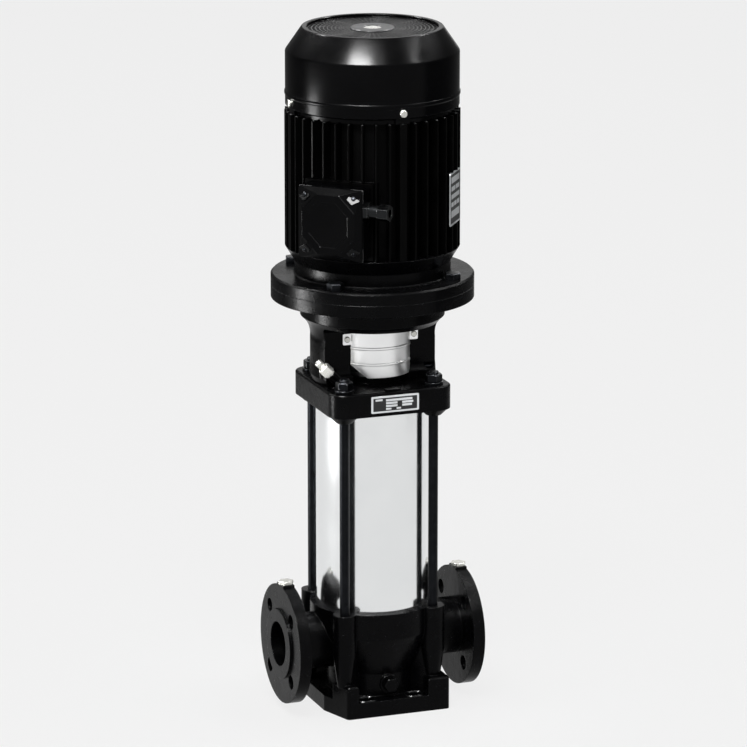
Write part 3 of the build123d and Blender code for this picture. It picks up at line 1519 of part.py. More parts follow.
with BuildPart() as terminal_box:
    with BuildSketch(box_plane):
        RectangleRounded(box_width, box_height, box_corner)
    extrude(amount=box_depth)
    with BuildSketch(box_plane.offset(box_wall)):
        Rectangle(box_width - 2 * box_wall, box_height - 2 * box_wall)
        with GridLocations(*screw_grid, 2, 2):
            Rectangle(2 * lid_screw_inset, 2 * lid_screw_inset, mode=Mode.SUBTRACT)
    extrude(amount=box_depth, mode=Mode.SUBTRACT)
    with BuildSketch(box_plane):
        RectangleRounded(board_width, board_height, passage_corner)
    extrude(amount=box_wall, mode=Mode.SUBTRACT)
    with BuildSketch(box_plane.offset(box_depth)):
        with GridLocations(*screw_grid, 2, 2):
            Circle(lid_screw_radius + seat_gap)
    extrude(amount=-box_depth + box_wall, mode=Mode.SUBTRACT)
    gland_plane = Plane(
        origin=box_plane.location.position + box_plane.z_dir * gland_offset
        + Vector(0, 0, gland_height - box_centre) + box_plane.x_dir * (box_width / 2),
        x_dir=(0, 0, 1),
        z_dir=box_plane.x_dir,
    )
    with BuildSketch(gland_plane):
        Circle(gland_bore_radius + gland_wall)
    extrude(amount=-box_wall - fuse_depth, mode=Mode.SUBTRACT)
keep(terminal_box, "terminal_box")

with BuildPart() as box_gasket:
    with BuildSketch(box_plane.offset(box_depth)):
        RectangleRounded(box_width - gasket_inset, box_height - gasket_inset, box_corner)
        Rectangle(box_width - 2 * box_wall, box_height - 2 * box_wall, mode=Mode.SUBTRACT)
        with GridLocations(*screw_grid, 2, 2):
            Rectangle(2 * lid_screw_inset, 2 * lid_screw_inset)
            Circle(lid_screw_radius + 3 * seat_gap, mode=Mode.SUBTRACT)
    extrude(amount=gasket_thickness)
keep(box_gasket, "box_gasket")

with BuildPart() as terminal_lid:
    with BuildSketch(lid_plane):
        RectangleRounded(box_width, box_height, box_corner)
    with BuildSketch(lid_plane.offset(lid_depth)):
        with BuildLine():
            lid_x = box_width / 2 - lid_bevel
            lid_y = box_height / 2 - lid_bevel
            Polyline(
                (lid_x, lid_y - lid_corner_cut),
                (lid_x - lid_corner_cut, lid_y),
                (-lid_x + lid_corner_cut, lid_y),
                (-lid_x, lid_y - lid_corner_cut),
                (-lid_x, -lid_y + lid_corner_cut),
                (-lid_x + lid_corner_cut, -lid_y),
                (lid_x - lid_corner_cut, -lid_y),
                (lid_x, -lid_y + lid_corner_cut),
                close=True,
            )
        make_face()
    loft(ruled=True)
    with BuildSketch(lid_plane):
        Rectangle(box_width - 2 * lid_bevel - 2 * lid_wall,
                  box_height - 2 * lid_bevel - 2 * lid_wall)
        with GridLocations(*screw_grid, 2, 2):
            Rectangle(3 * lid_screw_inset, 3 * lid_screw_inset, mode=Mode.SUBTRACT)
    extrude(amount=lid_depth - lid_wall, mode=Mode.SUBTRACT)
    with BuildSketch(lid_plane):
        with GridLocations(*screw_grid, 2, 2):
            Circle(lid_screw_radius + seat_gap)
    extrude(amount=lid_depth, mode=Mode.SUBTRACT)
    with BuildSketch(lid_plane.offset(lid_wall)):
        with GridLocations(*screw_grid, 2, 2):
            Circle(lid_screw_head_radius + 5 * seat_gap)
    extrude(amount=lid_depth, mode=Mode.SUBTRACT)
keep(terminal_lid, "terminal_lid")

lid_screw = pan_screw(lid_screw_head_radius, lid_screw_head, lid_screw_radius,
                      lid_wall + gasket_thickness + box_depth - box_wall - lid_screw_clearance)
with BuildPart() as lid_screws:
    for x in (-screw_grid[0] / 2, screw_grid[0] / 2):
        for y in (-screw_grid[1] / 2, screw_grid[1] / 2):
            with Locations(lid_plane.offset(lid_wall).location * Location((x, y, 0))):
                add(lid_screw)
keep(lid_screws, "lid_screws")

with BuildPart() as terminal_board:
    with BuildSketch(box_plane.offset(box_wall)):
        Rectangle(board_width + board_margin, board_height + board_margin)
    extrude(amount=board_thickness)
    with BuildSketch(box_plane.offset(box_wall + board_thickness)):
        with GridLocations(board_width / 3, board_height / 2, 3, 2):
            Circle(stud_radius)
    extrude(amount=stud_length)
keep(terminal_board, "terminal_board")

with BuildPart() as cable_gland:
    with BuildSketch(gland_plane):
        RegularPolygon(gland_hex / 2, 6, major_radius=False)
    extrude(amount=gland_hex_length)
    with BuildSketch(gland_plane.offset(gland_hex_length)):
        Circle(gland_body_radius)
    extrude(amount=gland_body_length)
    with BuildSketch(gland_plane.offset(gland_hex_length + gland_body_length)):
        RegularPolygon(gland_cap_hex / 2, 6, major_radius=False)
    extrude(amount=gland_cap_length)
    with BuildSketch(gland_plane.offset(gland_hex_length + gland_body_length + gland_cap_length)):
        Circle(gland_bore_radius)
    extrude(amount=-(gland_hex_length + gland_body_length + gland_cap_length), mode=Mode.SUBTRACT)
keep(cable_gland, "cable_gland")

with BuildPart() as motor_plate:
    with BuildSketch(radial_plane(plate_angle, plate_seat, plate_centre)):
        RectangleRounded(plate_width, plate_height, 2)
    extrude(amount=plate_thickness)
keep(motor_plate, "motor_plate")
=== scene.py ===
"""Looks of a vertical multistage in-line pump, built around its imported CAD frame.

Every length is in metres in the frame of the part: +Z runs up the shaft from the underside of
the foot, the suction flange faces -X and the rating plate of the pump faces -Y.
"""

import logging
import math
from dataclasses import dataclass
from enum import Enum
from typing import Any, Iterable, Sequence

import bmesh
import bpy
from mathutils import Matrix, Vector

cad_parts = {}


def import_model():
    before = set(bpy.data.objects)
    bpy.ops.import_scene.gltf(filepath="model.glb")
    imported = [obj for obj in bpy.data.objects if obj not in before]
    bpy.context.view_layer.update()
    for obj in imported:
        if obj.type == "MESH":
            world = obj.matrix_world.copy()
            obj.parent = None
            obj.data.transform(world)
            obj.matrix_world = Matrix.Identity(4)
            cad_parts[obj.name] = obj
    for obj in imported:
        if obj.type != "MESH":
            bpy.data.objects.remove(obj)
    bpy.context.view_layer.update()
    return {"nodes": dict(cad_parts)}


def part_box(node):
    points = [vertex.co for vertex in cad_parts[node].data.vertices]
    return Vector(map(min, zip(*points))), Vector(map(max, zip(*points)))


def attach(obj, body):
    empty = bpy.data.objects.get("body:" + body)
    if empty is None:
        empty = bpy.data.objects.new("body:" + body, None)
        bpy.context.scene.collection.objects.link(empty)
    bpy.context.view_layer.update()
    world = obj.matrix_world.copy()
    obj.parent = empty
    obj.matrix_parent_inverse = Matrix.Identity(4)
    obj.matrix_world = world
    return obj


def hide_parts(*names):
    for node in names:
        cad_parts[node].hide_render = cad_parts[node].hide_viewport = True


LOG = logging.getLogger("pump")
MM = 0.001
FULL_TURN = 2.0 * math.pi
QUARTER_TURN = math.pi / 2
ALL_SMOOTH = 180.0  # degrees, as the angle below which edges shade smooth
CHAMFER_SHARE = 0.09  # depth of a hexagon's chamfer, as a share of its width
CHAMFER_LEVELS = (0.0, 0.35, 0.7, 1.0)  # shares of that depth that carry a row of points
CHAMFER_INSET = 0.96  # radius of the round face that it leaves, over half the width
CHAMFER_SLOPE = 1.6  # width over height of the cone that turns its corners off
LINE_STRETCH = 0.02  # width over length of a working line
MERGE = 1e-7  # metres, below which two points of a turned form are one

UP = Vector((0.0, 0.0, 1.0))

Point = tuple[float, float, float]
Pair = tuple[float, float]


class Body(Enum):
    """Bodies of the mechanism that a piece may ride on."""

    HOUSING = "housing"


class Slot(Enum):
    """Material slots of the record, by name; the extra pieces take their finishes directly and do
    not use them.
    """

    CAST_IRON = "cast_iron_black"
    MOTOR_PAINT = "motor_black"
    STAINLESS = "stainless"
    ZINC = "zinc_steel"
    DARK_STEEL = "dark_steel"
    PLATE = "plate"


class Grain(Enum):
    """Direction in which a worked metal surface carries its fine lines."""

    NONE = "none"
    AROUND = "around"
    ALONG = "along"


# ------------------------------------------------------------------------------------------
# Colour and node tools
# ------------------------------------------------------------------------------------------


def linear(code: str) -> tuple[float, float, float, float]:
    """Turns an sRGB hex code into the linear colour that a shader expects.

    Args:
        code: Colour as "#rrggbb".

    Returns:
        Linear red, green, blue and an alpha of one.
    """
    parts = [int(code[i : i + 2], 16) / 255.0 for i in (1, 3, 5)]
    red, green, blue = (
        p / 12.92 if p <= 0.04045 else ((p + 0.055) / 1.055) ** 2.4 for p in parts
    )
    return red, green, blue, 1.0


def add_node(
    tree: bpy.types.NodeTree,
    kind: str,
    settings: dict[Any, Any] | None = None,
    links: dict[Any, bpy.types.NodeSocket] | None = None,
) -> bpy.types.Node:
    """Adds one node with its settings and its incoming links.

    Args:
        tree: Tree that the node goes into.
        kind: Node type, such as "ShaderNodeMath".
        settings: Properties by name, and input values by index or by socket name.
        links: Sockets to read from, by index or name of the input they feed.

    Returns:
        The new node.
    """
    node = tree.nodes.new(kind)
    for key, value in (settings or {}).items():
        if isinstance(key, str) and hasattr(node, key):
            setattr(node, key, value)
        else:
            node.inputs[key].default_value = value
    for key, socket in (links or {}).items():
        tree.links.new(socket, node.inputs[key])
    return node


# ------------------------------------------------------------------------------------------
# Finishes
# ------------------------------------------------------------------------------------------


@dataclass(frozen=True)
class Finish:
    """One surface: colour, gloss and relief of a real material.

    Attributes:
        name: Name of the material in the maker's words.
        colour: Main colour, sRGB hex.
        drift: Colour that the surface drifts to in patches, sRGB hex.
        edge: Colour of edges where the surface has worn or thinned, sRGB hex.
        metallic: One for bare metal, zero for paint, rubber and plastic.
        rough: Lowest and highest roughness.
        patch_mm: Size of the colour and gloss patches.
        grain_mm: Size of the finest relief.
        grain_depth_mm: Height of the finest relief.
        wave_mm: Size of the broad unevenness.
        wave_depth_mm: Height of the broad unevenness.
        edge_mm: Radius that rounds the edges.
        edge_share: How much of the edge colour shows.
        specular: Specular level, 0.5 for an IOR of 1.5.
        ior: Index of refraction.
        coat: Weight of a clear coat.
        coat_rough: Roughness of the clear coat.
        lines: Direction of fine working lines.
        line_mm: Spacing of the working lines.
        line_depth_mm: Height of the working lines.
        anisotropy: Share by which the highlight stretches across the lines.
    """

    name: str
    colour: str
    drift: str
    edge: str
    metallic: float = 0.0
    rough: Pair = (0.3, 0.4)
    patch_mm: float = 40.0
    grain_mm: float = 1.0
    grain_depth_mm: float = 0.02
    wave_mm: float = 12.0
    wave_depth_mm: float = 0.0
    edge_mm: float = 0.6
    edge_share: float = 0.3
    specular: float = 0.5
    ior: float = 1.5
    coat: float = 0.0
    coat_rough: float = 0.1
    lines: Grain = Grain.NONE
    line_mm: float = 0.3
    line_depth_mm: float = 0.004
    anisotropy: float = 0.0

    def material(self) -> bpy.types.Material:
        """Returns the material, and makes it the first time that it is asked for."""
        found = bpy.data.materials.get(self.name)
        return found if found else self._make()

    def _make(self) -> bpy.types.Material:
        """Builds the node tree of the finish.

        Returns:
            The new material.
        """
        made = bpy.data.materials.new(self.name)
        made.use_nodes = True
        tree = made.node_tree
        tree.nodes.clear()
        place = add_node(tree, "ShaderNodeTexCoord").outputs["Object"]
        patch = add_node(
            tree,
            "ShaderNodeTexNoise",
            {"Scale": 1.0 / (self.patch_mm * MM), "Detail": 4.0, "Roughness": 0.6},
            {"Vector": place},
        ).outputs["Fac"]
        fine = add_node(
            tree,
            "ShaderNodeTexNoise",
            {"Scale": 1.0 / (self.grain_mm * MM), "Detail": 2.0},
            {"Vector": place},
        ).outputs["Fac"]
        rounded = add_node(
            tree, "ShaderNodeBevel", {"samples": 4, "Radius": self.edge_mm * MM}
        ).outputs["Normal"]
        worn = self._edge_mask(tree, rounded, patch)
        tone = add_node(
            tree,
            "ShaderNodeMix",
            {"data_type": "RGBA", 6: linear(self.colour), 7: linear(self.drift)},
            {0: patch},
        ).outputs[2]
        colour = add_node(
            tree,
            "ShaderNodeMix",
            {"data_type": "RGBA", 7: linear(self.edge)},
            {0: worn, 6: tone},
        ).outputs[2]
        gloss = add_node(
            tree,
            "ShaderNodeMapRange",
            {
                "From Min": 0.3,
                "From Max": 0.7,
                "To Min": self.rough[0],
                "To Max": self.rough[1],
            },
            {"Value": patch},
        ).outputs["Result"]
        relief = self._relief(tree, place, fine, rounded)
        settings = {
            "Metallic": self.metallic,
            "Specular IOR Level": self.specular,
            "Coat Weight": self.coat,
            "Coat Roughness": self.coat_rough,
            "Anisotropic": self.anisotropy,
        }
        if not self.metallic:
            settings["IOR"] = self.ior
        shader = add_node(
            tree,
            "ShaderNodeBsdfPrincipled",
            settings,
            {"Base Color": colour, "Roughness": gloss, "Normal": relief},
        )
        if self.anisotropy:
            tangent = add_node(
                tree, "ShaderNodeTangent", {"direction_type": "RADIAL", "axis": "Z"}
            )
            tree.links.new(tangent.outputs["Tangent"], shader.inputs["Tangent"])
        add_node(tree, "ShaderNodeOutputMaterial", {}, {"Surface": shader.outputs["BSDF"]})
        return made

    def _edge_mask(
        self,
        tree: bpy.types.NodeTree,
        rounded: bpy.types.NodeSocket,
        patch: bpy.types.NodeSocket,
    ) -> bpy.types.NodeSocket:
        """Finds the edges, where the rounded normal leaves the flat one.

        Args:
            tree: Tree of the material.
            rounded: Normal rounded at the edges.
            patch: Patchy noise that breaks the edge wear up.

        Returns:
            A value from zero on a face to the edge share on an edge.
        """
        flat = add_node(tree, "ShaderNodeNewGeometry").outputs["Normal"]
        along = add_node(
            tree,
            "ShaderNodeVectorMath",
            {"operation": "DOT_PRODUCT"},
            {0: flat, 1: rounded},
        ).outputs["Value"]
        turned = add_node(
            tree,
            "ShaderNodeMapRange",
            {"From Min": 0.995, "From Max": 0.9, "To Min": 0.0, "To Max": self.edge_share},
            {"Value": along},
        ).outputs["Result"]
        return add_node(
            tree, "ShaderNodeMath", {"operation": "MULTIPLY"}, {0: turned, 1: patch}
        ).outputs["Value"]

    def _relief(
        self,
        tree: bpy.types.NodeTree,
        place: bpy.types.NodeSocket,
        fine: bpy.types.NodeSocket,
        rounded: bpy.types.NodeSocket,
    ) -> bpy.types.NodeSocket:
        """Stacks broad unevenness, fine grain and working lines on the rounded normal.

        Args:
            tree: Tree of the material.
            place: Object coordinates.
            fine: Noise of the finest grain.
            rounded: Normal rounded at the edges.

        Returns:
            The normal of the finished surface.
        """
        normal = rounded
        if self.wave_depth_mm:
            broad = add_node(
                tree,
                "ShaderNodeTexNoise",
                {"Scale": 1.0 / (self.wave_mm * MM), "Detail": 2.0},
                {"Vector": place},
            ).outputs["Fac"]
            normal = add_node(
                tree,
                "ShaderNodeBump",
                {"Strength": 1.0, "Distance": self.wave_depth_mm * MM},
                {"Height": broad, "Normal": normal},
            ).outputs["Normal"]
        if self.lines is not Grain.NONE:
            # Lines are noise squeezed across the working direction and drawn out along it.
            across, drawn = 1.0 / (self.line_mm * MM), LINE_STRETCH / (self.line_mm * MM)
            around = self.lines is Grain.AROUND
            scale = (drawn, drawn, across) if around else (across, across, drawn)
            stretched = add_node(
                tree, "ShaderNodeVectorMath", {"operation": "MULTIPLY", 1: scale}, {0: place}
            ).outputs["Vector"]
            lined = add_node(
                tree, "ShaderNodeTexNoise", {"Scale": 1.0, "Detail": 2.0}, {"Vector": stretched}
            ).outputs["Fac"]
            normal = add_node(
                tree,
                "ShaderNodeBump",
                {"Strength": 1.0, "Distance": self.line_depth_mm * MM},
                {"Height": lined, "Normal": normal},
            ).outputs["Normal"]
        return add_node(
            tree,
            "ShaderNodeBump",
            {"Strength": 1.0, "Distance": self.grain_depth_mm * MM},
            {"Height": fine, "Normal": normal},
        ).outputs["Normal"]


# Cast iron, sand-cast, blasted and sprayed with gloss black enamel: the sand skin shows through
# the paint as a soft grain, and the paint draws thin on the edges. The specular level is low
# because the enamel is a very deep black.
CAST_ENAMEL = Finish(
    "black_enamel_on_cast_iron", "#020203", "#050506", "#141617",
    rough=(0.2, 0.32), patch_mm=30.0, grain_mm=1.6, grain_depth_mm=0.10, wave_mm=9.0,
    wave_depth_mm=0.18, edge_mm=1.6, edge_share=0.7, specular=0.05,
)

# Die-cast aluminium and drawn sheet under the same gloss black enamel: smoother than sand-cast
# iron, with only the orange peel of the spray.
SHEET_ENAMEL = Finish(
    "black_enamel_on_sheet", "#020203", "#040405", "#121415",
    rough=(0.16, 0.25), patch_mm=60.0, grain_mm=2.2, grain_depth_mm=0.02, wave_mm=25.0,
    wave_depth_mm=0.05, edge_mm=0.8, edge_share=0.6, specular=0.05,
)

# Cold-rolled stainless tube, polished around its girth: mirror bright, with very fine lines
# that smear a reflection up and down.
POLISHED_STAINLESS = Finish(
    "polished_stainless_sheet", "#eceded", "#e2e4e5", "#f4f4f4",
    metallic=1.0, rough=(0.1, 0.17), patch_mm=55.0, grain_mm=3.0, grain_depth_mm=0.004,
    wave_mm=60.0, wave_depth_mm=0.03, edge_mm=0.4, lines=Grain.AROUND, line_mm=0.5,
    line_depth_mm=0.002, anisotropy=0.35,
)

# Pressure-cast aluminium frame under the same enamel, sprayed dry between the fins: a deeper,
# flatter black than the cover.
FRAME_ENAMEL = Finish(
    "black_enamel_on_finned_frame", "#020202", "#040404", "#0d0e0f",
    rough=(0.3, 0.42), patch_mm=35.0, grain_mm=1.4, grain_depth_mm=0.05, wave_mm=20.0,
    wave_depth_mm=0.05, edge_mm=0.7, edge_share=0.5, specular=0.025,
)

# The same enamel on the machined screw pads of the lid, thin and flat: it mirrors the lamps.
PAD_ENAMEL = Finish(
    "black_enamel_on_machined_pad", "#0c0d0e", "#060707", "#3a3d40",
    rough=(0.3, 0.38), patch_mm=9.0, grain_mm=1.2, grain_depth_mm=0.01, edge_mm=0.5,
    edge_share=0.9, specular=0.08,
)

# The same enamel where it ran thick over the raised rims of the anchor slots: wet looking, so
# that a short bright glint sits on each rim.
RUN_ENAMEL = Finish(
    "thick_enamel_on_slot_rims", "#030304", "#060708", "#2a2c2e",
    rough=(0.12, 0.2), patch_mm=12.0, grain_mm=1.6, grain_depth_mm=0.02, wave_mm=6.0,
    wave_depth_mm=0.12, edge_mm=0.6, edge_share=0.7, specular=0.3,
)

# Lighter grey enamel on the ends of the fins: a painted highlight that stands in for the glints the
# lamps draw on the fin ends.
WORN_ENAMEL = Finish(
    "rubbed_enamel_on_fin_end", "#2c2e30", "#0a0b0b", "#8d9092",
    rough=(0.25, 0.4), patch_mm=5.0, grain_mm=0.8, grain_depth_mm=0.02, edge_mm=0.4,
    edge_share=0.9, specular=0.4,
)

# Thin stainless strip, bright annealed and rolled to shape: nearly white under soft light, with
# the faint grain of the mill along the strip.
GUARD_STAINLESS = Finish(
    "bright_annealed_strip", "#f4f4f4", "#ebecec", "#f8f8f8",
    metallic=1.0, patch_mm=25.0, grain_mm=2.0, grain_depth_mm=0.004, wave_mm=30.0,
    wave_depth_mm=0.02, edge_mm=0.4, lines=Grain.AROUND, line_mm=0.4, line_depth_mm=0.002,
)

# Turned or forged steel, barrel zinc plated and passivated: a bright, slightly warm grey with a
# faint crystalline speckle.
ZINC_PLATED = Finish(
    "zinc_plated_steel", "#c9c8c3", "#b4b4ae", "#e4e4e0",
    metallic=1.0, rough=(0.2, 0.34), patch_mm=6.0, grain_mm=0.6, grain_depth_mm=0.012,
    edge_mm=0.5, edge_share=0.9,
)

# Rolled steel, hot blackened in oil: nearly black, with a satin oxide skin that rubs bright on
# the corners of the hexagons.
BLACKENED_STEEL = Finish(
    "blackened_steel", "#101113", "#1a1b1d", "#77797c",
    metallic=1.0, rough=(0.26, 0.42), patch_mm=9.0, grain_mm=0.8, grain_depth_mm=0.02,
    edge_mm=0.6, edge_share=0.5,
)

# Zinc plate fresh from the barrel, with a clear passivate: the same metal, almost white.
BRIGHT_ZINC = Finish(
    "fresh_zinc_plate", "#eeeeea", "#dddcd6", "#f8f8f6",
    metallic=1.0, rough=(0.24, 0.36), patch_mm=5.0, grain_mm=0.5, grain_depth_mm=0.01,
    edge_mm=0.5, edge_share=0.9,
)

# The hub of the fan guard, sprayed thin over bright sheet: a dark grey satin.
HUB_ENAMEL = Finish(
    "thin_enamel_on_hub", "#17181a", "#101113", "#5a5d60",
    rough=(0.28, 0.4), patch_mm=14.0, grain_mm=1.2, grain_depth_mm=0.02, edge_mm=0.6,
    edge_share=0.8, specular=0.3,
)

# Steel turned or ground all over and left bare under a film of oil: ring marks of the tool.
TURNED_STEEL = Finish(
    "turned_steel", "#a9aaab", "#8f9092", "#cfd0d0",
    metallic=1.0, rough=(0.2, 0.32), patch_mm=14.0, grain_mm=0.9, grain_depth_mm=0.006,
    edge_mm=0.4, edge_share=0.7, lines=Grain.AROUND, line_mm=0.35, line_depth_mm=0.012,
)

# Stainless strip, deep drawn and pickled: a soft grey with draw marks that run up the wall.
PRESSED_STAINLESS = Finish(
    "pressed_stainless", "#b9babb", "#a3a5a6", "#d3d4d4",
    metallic=1.0, rough=(0.26, 0.4), patch_mm=18.0, grain_mm=1.0, grain_depth_mm=0.01,
    edge_mm=0.4, edge_share=0.5, lines=Grain.ALONG, line_mm=0.5, line_depth_mm=0.01,
)

# Moulded EPDM, dusted with talc at the press: matt black with a faint bloom.
MOULDED_RUBBER = Finish(
    "moulded_rubber", "#101112", "#1c1d1e", "#2b2c2d",
    rough=(0.6, 0.8), patch_mm=8.0, grain_mm=0.5, grain_depth_mm=0.02, edge_mm=0.3, ior=1.52,
    specular=0.3,
)

# Resin-bonded carbon, lapped: dark grey with a dull graphite sheen.
SEAL_CARBON = Finish(
    "lapped_seal_carbon", "#26282b", "#303236", "#45484c",
    rough=(0.35, 0.5), patch_mm=5.0, grain_mm=0.4, grain_depth_mm=0.005, edge_mm=0.3, ior=1.8,
)

# Fired alumina, ground flat: off-white, dense and a little glossy.
SEAL_CERAMIC = Finish(
    "ground_alumina", "#e3ddcd", "#d8d0bd", "#efe9db",
    rough=(0.2, 0.3), patch_mm=6.0, grain_mm=0.4, grain_depth_mm=0.004, edge_mm=0.3, ior=1.76,
)

# Aluminium sheet, brushed and anodised: silver grey with short lines and a satin gloss.
ANODISED_PLATE = Finish(
    "anodised_aluminium", "#d4d6d8", "#c5c8ca", "#eceeee",
    metallic=1.0, rough=(0.3, 0.42), patch_mm=15.0, grain_mm=0.5, grain_depth_mm=0.006,
    edge_mm=0.3, edge_share=0.8, lines=Grain.AROUND, line_mm=0.4, line_depth_mm=0.006,
)

# Screen ink on the plates, cured matt: black with a slight grey cast.
PLATE_INK = Finish(
    "screen_printed_ink", "#0b0c0e", "#121417", "#1d2024",
    rough=(0.4, 0.52), patch_mm=8.0, grain_mm=0.4, grain_depth_mm=0.004, edge_mm=0.05,
    specular=0.3,
)

# Punched electrical steel under insulating varnish: hundreds of thin sheets stacked up.
STACKED_LAMINATIONS = Finish(
    "varnished_laminations", "#4b4a4a", "#3a3838", "#6d6b6a",
    metallic=1.0, rough=(0.4, 0.55), patch_mm=12.0, grain_mm=1.0, grain_depth_mm=0.01,
    edge_mm=0.3, lines=Grain.AROUND, line_mm=0.8, line_depth_mm=0.08,
)

# Enamelled copper wire, wound and dipped in amber varnish.
DIPPED_COPPER = Finish(
    "varnished_copper_winding", "#8a4a22", "#6b3416", "#b0703f",
    rough=(0.22, 0.35), patch_mm=6.0, grain_mm=1.4, grain_depth_mm=0.25, edge_mm=0.8, ior=1.55,
    coat=0.4, lines=Grain.AROUND, line_mm=1.1, line_depth_mm=0.2,
)

# Glass-filled polyamide, moulded in a spark-eroded tool: black with a fine even texture.
MOULDED_POLYAMIDE = Finish(
    "moulded_polyamide", "#0d0e0f", "#141516", "#232527",
    rough=(0.45, 0.6), patch_mm=20.0, grain_mm=0.5, grain_depth_mm=0.03, edge_mm=0.5, ior=1.53,
    specular=0.35,
)

# Brass turned from hexagon bar, nickel plated and tarnished dark: a dull grey metal whose turned
# edges stay bright.
DARK_NICKEL = Finish(
    "tarnished_nickel_on_brass", "#2b2c2d", "#1b1c1d", "#9a9c9c",
    metallic=1.0, rough=(0.14, 0.26), patch_mm=7.0, grain_mm=0.6, grain_depth_mm=0.006,
    edge_mm=0.5, edge_share=0.8, lines=Grain.ALONG, line_mm=0.4, line_depth_mm=0.006,
)

DRESSED_NODES: dict[Finish, str] = {
    CAST_ENAMEL: "pump_base pump_head motor_stool drive_shield drain_plug",
    SHEET_ENAMEL: "tail_shield fan_cover fan_grille terminal_box terminal_lid",
    FRAME_ENAMEL: "motor_frame",
    POLISHED_STAINLESS: "outer_sleeve",
    GUARD_STAINLESS: "guard_front guard_back",
    ZINC_PLATED: "gauge_plugs vent_plug vent_screw guard_screws cover_screws",
    BLACKENED_STEEL: (
        "tie_rods tie_rod_washers tie_rod_nuts stool_screws coupling_screws motor_bolts lid_screws"
    ),
    TURNED_STEEL: (
        "seal_spring pump_shaft shaft_nut stop_collar coupling_half_front coupling_half_back "
        "coupling_pin motor_shaft drive_bearing_outer_race drive_bearing_inner_race "
        "drive_bearing_balls tail_bearing_outer_race tail_bearing_inner_race tail_bearing_balls"
    ),
    PRESSED_STAINLESS: (
        "seal_cover seal_driver suction_piece stage_chambers impellers top_guide"
    ),
    MOULDED_RUBBER: "sleeve_o_rings box_gasket",
    SEAL_CARBON: "seal_ring lower_bush",
    SEAL_CERAMIC: "seal_seat",
    ANODISED_PLATE: "rating_plate motor_plate",
    STACKED_LAMINATIONS: "stator_core rotor_core",
    DIPPED_COPPER: "stator_windings",
    MOULDED_POLYAMIDE: "wear_rings motor_fan terminal_board",
    DARK_NICKEL: "cable_gland",
}
NODE_FINISHES = {name: finish for finish, names in DRESSED_NODES.items() for name in names.split()}


def dress_nodes(nodes: dict[str, bpy.types.Object]) -> None:
    """Gives every CAD node its finish.

    Args:
        nodes: CAD nodes by name.
    """
    for name, node in nodes.items():
        material = NODE_FINISHES[name].material()
        if not node.material_slots:
            node.data.materials.append(material)
        for place in node.material_slots:
            place.material = material
        LOG.info("%s dressed in %s", name, material.name)


# ------------------------------------------------------------------------------------------
# Mesh tools
# ------------------------------------------------------------------------------------------


def add_piece(
    name: str,
    mesh: bmesh.types.BMesh,
    finish: Finish,
    soft: float = 0.0,
    body: Body = Body.HOUSING,
) -> bpy.types.Object:
    """Turns a finished bmesh into a piece that rides on a body.

    Args:
        name: Name of the piece.
        mesh: Geometry in metres; it is freed here.
        finish: Surface of the piece.
        soft: Angle in degrees below which an edge shades smooth. Zero leaves all faces flat, and
            ALL_SMOOTH leaves no edge sharp.
        body: Body that it rides on.

    Returns:
        The new object.
    """
    bmesh.ops.recalc_face_normals(mesh, faces=mesh.faces)
    limit = math.radians(soft)
    for face in mesh.faces:
        face.smooth = soft > 0.0
    for edge in mesh.edges:
        gentle = edge.is_manifold and edge.calc_face_angle(0.0) < limit
        edge.smooth = soft in (0.0, ALL_SMOOTH) or gentle
    data = bpy.data.meshes.new(name)
    mesh.to_mesh(data)
    mesh.free()
    data.materials.append(finish.material())
    piece = bpy.data.objects.new(name, data)
    bpy.context.scene.collection.objects.link(piece)
    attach(piece, body.value)
    LOG.info("%s built with %d faces", name, len(data.polygons))
    return piece


def add_band(
    mesh: bmesh.types.BMesh,
    low: Sequence[bmesh.types.BMVert],
    high: Sequence[bmesh.types.BMVert],
    closed: bool = True,
) -> None:
    """Adds the faces between two rows of vertices.

    Args:
        mesh: Mesh that holds the rows.
        low: Vertices of one row.
        high: Vertices of the other row, as many.
        closed: Whether the rows run round and close.
    """
    count = len(low)
    for i in range(count if closed else count - 1):
        after = (i + 1) % count
        mesh.faces.new((low[i], low[after], high[after], high[i]))


def add_prism(mesh: bmesh.types.BMesh, outline: Iterable[Vector], lift: Vector) -> None:
    """Adds a solid plate: an outline and its copy moved along a vector, with walls between.

    Args:
        mesh: Mesh that gets the plate.
        outline: Corner points in order.
        lift: Thickness as a vector.
    """
    corners = list(outline)
    low = [mesh.verts.new(corner) for corner in corners]
    high = [mesh.verts.new(corner + lift) for corner in corners]
    mesh.faces.new(low)
    mesh.faces.new(high)
    add_band(mesh, low, high)


def arc(centre: Pair, size: Pair, start: float, end: float, steps: int) -> list[Pair]:
    """Returns points along a round or elliptic arc, both ends included.

    Args:
        centre: Middle of the arc.
        size: Its half axes.
        start: Angle of the first point.
        end: Angle of the last point.
        steps: Segments of the arc.

    Returns:
        Points in order.
    """
    angles = (start + (end - start) * i / steps for i in range(steps + 1))
    return [
        (centre[0] + size[0] * math.cos(angle), centre[1] + size[1] * math.sin(angle))
        for angle in angles
    ]


def rounded_rectangle(width: float, height: float, radius: float, steps: int = 4) -> list[Pair]:
    """Returns the corner points of a rectangle with rounded corners, centred on the origin.

    Args:
        width: Full width.
        height: Full height.
        radius: Corner radius.
        steps: Segments in each corner.

    Returns:
        Points in order, anticlockwise.
    """
    points: list[Pair] = []
    for turn, (sx, sy) in enumerate(((1, 1), (-1, 1), (-1, -1), (1, -1))):
        centre = (sx * (width / 2 - radius), sy * (height / 2 - radius))
        start = QUARTER_TURN * turn
        points += arc(centre, (radius, radius), start, start + QUARTER_TURN, steps)
    return points


def dome(radius: float, height: float, base: float, steps: int = 8) -> list[Pair]:
    """Returns the (radius, height) profile of a low dome, from its rim to its crown."""
    return arc((0.0, base), (radius, height), 0.0, QUARTER_TURN, steps)


def corners(x: float, y: float) -> tuple[Pair, Pair, Pair, Pair]:
    """Returns the four corners at a distance from both middle planes."""
    return (-x, -y), (-x, y), (x, -y), (x, y)


